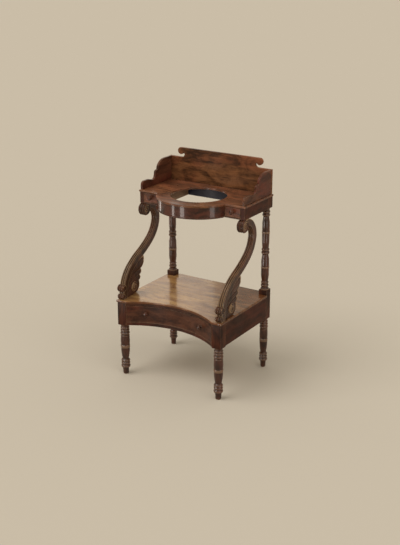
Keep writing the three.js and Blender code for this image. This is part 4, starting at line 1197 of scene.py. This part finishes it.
for side, sign in (("left", -1), ("right", 1)):
    x = sign * bracket_x
    skins = [
        roll_skin(x, volute_centre, volute_radius, VOLUTE_SIDES),
        roll_skin(x, *upper_roll),
        roll_skin(x, *lower_roll),
        wing_skin(x),
    ]
    for face in (1, -1):
        skins += [
            dome_skin(x + face * boss_face, face, boss_centre, **boss),
            curl_skin(x + face * boss_curl_face, face, boss_centre, **boss_curl),
            dome_skin(x + face * boss_curl_face, face, boss_centre, **boss_eye),
            curl_skin(x + face * volute_face, face, volute_centre, **volute_curl),
            dome_skin(x + face * volute_face, face, volute_centre, **volute_eye),
        ]
    bracket = make_piece("carved_bracket_" + side, *skins, second=[stem_skin(x)])
    seat(bracket, "frame", "mahogany_carved", "scroll_bracket_" + side, finish["carved"], finish["reeded"])

# %% [markdown]
# ## The bowed case
# The apron under the top is bent or built up of bricks and veneered. In plan it is a strip
# between two arcs, and the bead under it is a narrower strip whose edge is nearly half round.
# The top follows the same arc a little further out and has the hole for the basin.

# %% Apron, bead and top
HOLE_STEPS = 96


def bow_strip(outer_radius, inner_radius, end_y):
    """A strip in plan between two arcs round the centre of the bow, cut off at one depth."""
    outer_turn = math.acos((bow_centre - end_y) / outer_radius)
    inner_turn = math.acos((bow_centre - end_y) / inner_radius)
    outer = middle_arc(bow_centre, outer_radius, -QUARTER_TURN, -outer_turn)
    inner = middle_arc(bow_centre, inner_radius, -QUARTER_TURN, inner_turn)
    return outer + inner


apron_plan = bow_strip(bow_radius, bow_radius - apron_thickness, case_front)
apron_board = edged_board(apron_plan, apron_low.z, apron_high.z, arris["apron"], in_plan)
apron = make_piece("bowed_apron", apron_board)
seat(weighted(apron), "frame", "mahogany_dark", "bow_apron", finish["bow"])

trim_radius = bow_centre - trim_low.y
trim_plan = bow_strip(trim_radius, bow_radius - trim_depth, trim_high.y)
trim_board = edged_board(trim_plan, trim_low.z, trim_high.z, arris["bead"], in_plan)
trim = make_piece("bowed_bead", trim_board)
seat(trim, "frame", "mahogany_brown", "bow_bead", finish["bow"])

top_radius = bow_radius + top_overhang
top_front = case_front - top_overhang
top_turn = math.acos((bow_centre - top_front) / top_radius)
top_plan = [(-top_high.x, top_front)]
top_plan += middle_arc(bow_centre, top_radius, -QUARTER_TURN, -top_turn)
top_plan += [(top_high.x, top_front), (top_high.x, top_high.y), (-top_high.x, top_high.y)]
hole = arc((0, bow_centre), basin_radius, 0, 2 * math.pi, HOLE_STEPS)[:-1]
top_board = edged_board(top_plan, top_low.z, top_high.z, arris["top"], in_plan, hole)
top = make_piece("top_with_hole", top_board)
seat(weighted(top), "frame", "mahogany_brown", "top_board", finish["top"])

# %% [markdown]
# ## The splashboard's back
# Three thin boards keep water off the wall. The back rises to a crest whose ends curl outwards
# over a cove. A traced curve would wobble, so the outline is arcs end to end, as a joiner would
# set them out with compasses.

# %% The back of the splashboard
shoulder = gallery_high.z
crest_top = splash_high.z
board_end = splash_high.x
scroll_radius = 15 * MM
cove_radius = 14 * MM
neck_from_end = 76 * MM
eye_inset = 3.5 * MM
SCROLL_STEPS = 30
COVE_STEPS = 14


def splash_outline():
    """The back board as seen from the front, with a scroll at each end of its crest."""
    eye = (board_end - neck_from_end + scroll_radius + eye_inset, crest_top - scroll_radius)
    cove = (board_end - neck_from_end + cove_radius, shoulder + cove_radius)
    right = [(board_end, top_high.z), (board_end, shoulder)]
    right += arc(cove, cove_radius, -QUARTER_TURN, -math.pi, COVE_STEPS)
    right += arc(eye, scroll_radius, -5 * math.pi / 6, QUARTER_TURN, SCROLL_STEPS)
    left = [(-x, z) for x, z in reversed(right)]
    return right + left


splash_board = edged_board(
    splash_outline(), splash_low.y, splash_high.y, arris["splash"], in_front_view,
)
splash = make_piece("splashboard", splash_board)
seat(weighted(splash), "frame", "mahogany_figured", "splash_back", finish["figured"])

# %% [markdown]
# ## The splashboard's sides
# Each side steps down to the front in a round, an ovolo, a cove, a hollow sweep and a rounded
# nose. The mouldings are flattened arcs whose length and height are given in a small table, and
# the sweep between two of them is a Bezier curve, level at both ends.

# %% The sides of the splashboard
nose = gallery_low.y
# The length and the height of each moulding, or its length alone where the height follows.
side_forms = dict(
    nose=(16 * MM, 18 * MM), hump=(22 * MM, 35 * MM), sweep=44 * MM, valley=(26 * MM, 28 * MM),
    cove=(15 * MM, 24 * MM), ovolo=(12 * MM, 11 * MM), fillet=6 * MM, round=56 * MM,
)
ROUND_STEPS = 16
OVOLO_STEPS = 12
SWEEP_STEPS = 14


def corner_arc(centre, length, height, steps, start=QUARTER_TURN, end=math.pi):
    """A quarter of an ellipse, given by its length and its height."""
    return arc(centre, length, start, end, steps, height / length)


def gallery_outline():
    """A side board as seen from the side, from the back over its steps to the nose."""
    s = side_forms
    base = top_high.z
    hump_end = nose + s["nose"][0] + s["hump"][0]
    valley = hump_end + s["sweep"]
    cove_top = base + s["valley"][1] + s["cove"][1]
    ovolo = valley + s["cove"][0] + s["ovolo"][0]
    round_low = cove_top + s["ovolo"][1]
    round_middle = ovolo + s["fillet"] + s["round"]
    points = [(gallery_high.y, base), (gallery_high.y, shoulder)]
    points += corner_arc((round_middle, round_low), s["round"], shoulder - round_low, ROUND_STEPS)
    points += corner_arc((ovolo, cove_top), *s["ovolo"], OVOLO_STEPS)
    points += corner_arc((valley, cove_top), *s["cove"], COVE_STEPS, 0, -QUARTER_TURN)
    start = Vector((valley, base + s["valley"][1]))
    end = Vector((hump_end, base + s["hump"][1]))
    reach = Vector((s["valley"][0], 0))
    a, b, c, d = start, start - reach, end + reach, end
    for i in range(1, SWEEP_STEPS):
        t = i / SWEEP_STEPS
        u = 1 - t
        points.append(tuple(u ** 3 * a + 3 * t * u ** 2 * b + 3 * t * t * u * c + t ** 3 * d))
    nose_middle = (nose + s["nose"][0], end.y - s["nose"][1])
    points += corner_arc(nose_middle, *s["nose"], COVE_STEPS)
    points.append((nose, base))
    return points


for side, sign in (("left", -1), ("right", 1)):
    low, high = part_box("splash_side_" + side)
    board = edged_board(gallery_outline(), low.x, high.x, arris["splash"], in_side_view)
    end = make_piece("splash_end_" + side, board)
    seat(weighted(end), "frame", "mahogany_dark", "splash_side_" + side, finish["gallery"])

# %% [markdown]
# ## Plain boards
# Rails, partitions and drawer linings have the right shape already. They keep their frame mesh
# and get the finish of their timber, with a small bevel modifier for the arrises, which is the
# quickest way on straight boards.

# %% Finishes for the plain boards
PLAIN = {
    "lower_side_rail": "side", "upper_side": "side", "lower_back_rail": "rail",
    "upper_back_rail": "inner_rail", "case_partition": "lining", "dust_board": "rail",
    "drawer_runner": "deal_long", "drawer_kicker": "deal_long", "foot_dowel": "peg",
    "arch_dowel": "peg", "drawer_side": "deal_long", "drawer_back": "deal_cross",
    "drawer_bottom": "deal_cross",
}
dressed = 0
for name, node in nodes.items():
    if node.hide_render:
        continue
    found = [key for word, key in PLAIN.items() if word in name]
    node.material_slots[0].material = finish[found[0]]
    bevel = node.modifiers.new("eased_arrises", "BEVEL")
    bevel.width = arris["plain"]
    bevel.segments = 2
    bevel.limit_method = "ANGLE"
    bevel.angle_limit = CRISP_ANGLE
    weighted(node)
    dressed += 1
print("plain boards:", dressed)

# %% [markdown]
# ## The floor
# Furniture is drawn and photographed on plain paper, so the floor is one dull pale plane that
# runs far past the stand. It catches the soft shadow that seats the feet. It has no gloss at
# all, because even a little would mirror the lamps in a low view.

# %% The floor
FLOOR_REACH = 60.0
floor_mesh = bpy.data.meshes.new("studio_floor")
floor_corners = box_outline(-FLOOR_REACH, FLOOR_REACH, -FLOOR_REACH, FLOOR_REACH)
floor_mesh.from_pydata([(u, v, 0) for u, v in floor_corners], [], [(0, 1, 2, 3)])
floor = bpy.data.objects.new("studio_floor", floor_mesh)
bpy.context.scene.collection.objects.link(floor)
floor_paint = bpy.data.materials.new("pale_floor")
floor_paint.use_nodes = True
floor_shader = floor_paint.node_tree.nodes["Principled BSDF"]
floor_shader.inputs["Base Color"].default_value = linear(198, 190, 176)
floor_shader.inputs["Roughness"].default_value = 0.9
floor_shader.inputs["Specular IOR Level"].default_value = 0.0
floor.data.materials.append(floor_paint)
print("floor reaches:", FLOOR_REACH, "m")

# %% [markdown]
# ## Lamps and cards
# The light is soft and even: a wide distant lamp high on the left and a weaker one from the
# right. Polish shows its shape by what it mirrors, so low bright cards stand round the front and
# the sides, and make the bands down the bow and the lines along the turned legs. A large dim one
# stands behind. Bright walls would do it too, but they would light the floor unevenly, so the
# cards are area lamps that only reflections see. The low ones end below the case, to keep glare
# off the shelf when it is looked at from behind.

# %% Lamps and cards
LAMP_COLOUR = (1.0, 0.97, 0.93)
CARD_COLOUR = (1.0, 0.92, 0.85)
SUN_PLACE = (0, 0, 3)


def heading(turn, rise):
    """The direction at an angle round the stand, from the front towards its right, and a height."""
    turn, rise = math.radians(turn), math.radians(rise)
    return Vector((math.sin(turn) * math.cos(rise), -math.cos(turn) * math.cos(rise), math.sin(rise)))


def add_lamp(name, kind, position, towards, strength, colour):
    """A lamp that shines back along a heading."""
    data = bpy.data.lights.new(name, kind)
    data.energy = strength
    data.color = colour
    lamp = bpy.data.objects.new(name, data)
    lamp.location = position
    lamp.rotation_euler = towards.to_track_quat("Z", "Y").to_euler()
    bpy.context.scene.collection.objects.link(lamp)
    return lamp


def sun(name, turn, rise, strength, softness):
    """A distant lamp. Its softness is how wide it looks from the stand, in degrees."""
    lamp = add_lamp(name, "SUN", SUN_PLACE, heading(turn, rise), strength, LAMP_COLOUR)
    lamp.data.angle = math.radians(softness)
    return lamp


def card(name, turn, distance, width, low, high, brightness):
    """An upright bright card that faces the stand and is seen only in its polish."""
    place = heading(turn, 0) * distance + Vector((0, 0, (low + high) / 2))
    power = brightness * math.pi * width * (high - low)
    lamp = add_lamp(name, "AREA", place, heading(turn, 0), power, CARD_COLOUR)
    lamp.data.shape = "RECTANGLE"
    lamp.data.size = width
    lamp.data.size_y = high - low
    lamp.visible_camera = False
    lamp.visible_diffuse = False
    return lamp


# Turn and rise in degrees, strength, softness.
SUNS = {"window_light": (-38, 56, 1.2, 40), "room_light": (62, 38, 0.5, 60)}
# Turn in degrees, distance, width, lower edge and upper edge in metres, brightness.
CARDS = {
    "window_card": (-11, 1.15, 0.22, 0.02, 0.56, 10.0),
    "narrow_card": (-38, 1.15, 0.14, 0.02, 0.56, 10.0),
    "side_card": (-94, 1.6, 0.14, 0.02, 0.42, 6.0),
    "right_card": (68, 1.6, 0.34, 0.02, 0.62, 4.5),
    "back_card": (221, 3.6, 1.4, 0.5, 2.6, 1.0),
}
for name, values in SUNS.items():
    sun(name, *values)
for name, values in CARDS.items():
    card(name, *values)

# %% [markdown]
# ## The room
# The world lights the stand from all round like a pale room. What the camera and polished wood
# see behind the stand is another matter: it should match the floor, so that a low view shows no
# hard horizon. The Light Path node tells such rays apart, and a Mix Shader gives them a backdrop
# of its own colour, so the background can change without changing the light.

# %% The room
ROOM_STRENGTH = 0.77
world = bpy.data.worlds.new("pale_room")
world.use_nodes = True
tree = world.node_tree
room = tree.nodes["Background"]
room.inputs["Color"].default_value = linear(234, 226, 212)
room.inputs["Strength"].default_value = ROOM_STRENGTH
backdrop = add(tree, "Background", {"Color": linear(202, 191, 170), "Strength": 1.0})
ray = add(tree, "LightPath").outputs
seen = calculate(tree, "MAXIMUM", ray["Is Camera Ray"], ray["Is Glossy Ray"])
seen = calculate(tree, "MAXIMUM", seen, ray["Is Transmission Ray"])
shown = add(tree, "MixShader", {0: seen, 1: room.outputs[0], 2: backdrop.outputs[0]})
tree.links.new(shown.outputs[0], tree.nodes["World Output"].inputs["Surface"])
bpy.context.scene.world = world
bpy.context.scene.view_settings.view_transform = "Standard"
print("room strength:", ROOM_STRENGTH)
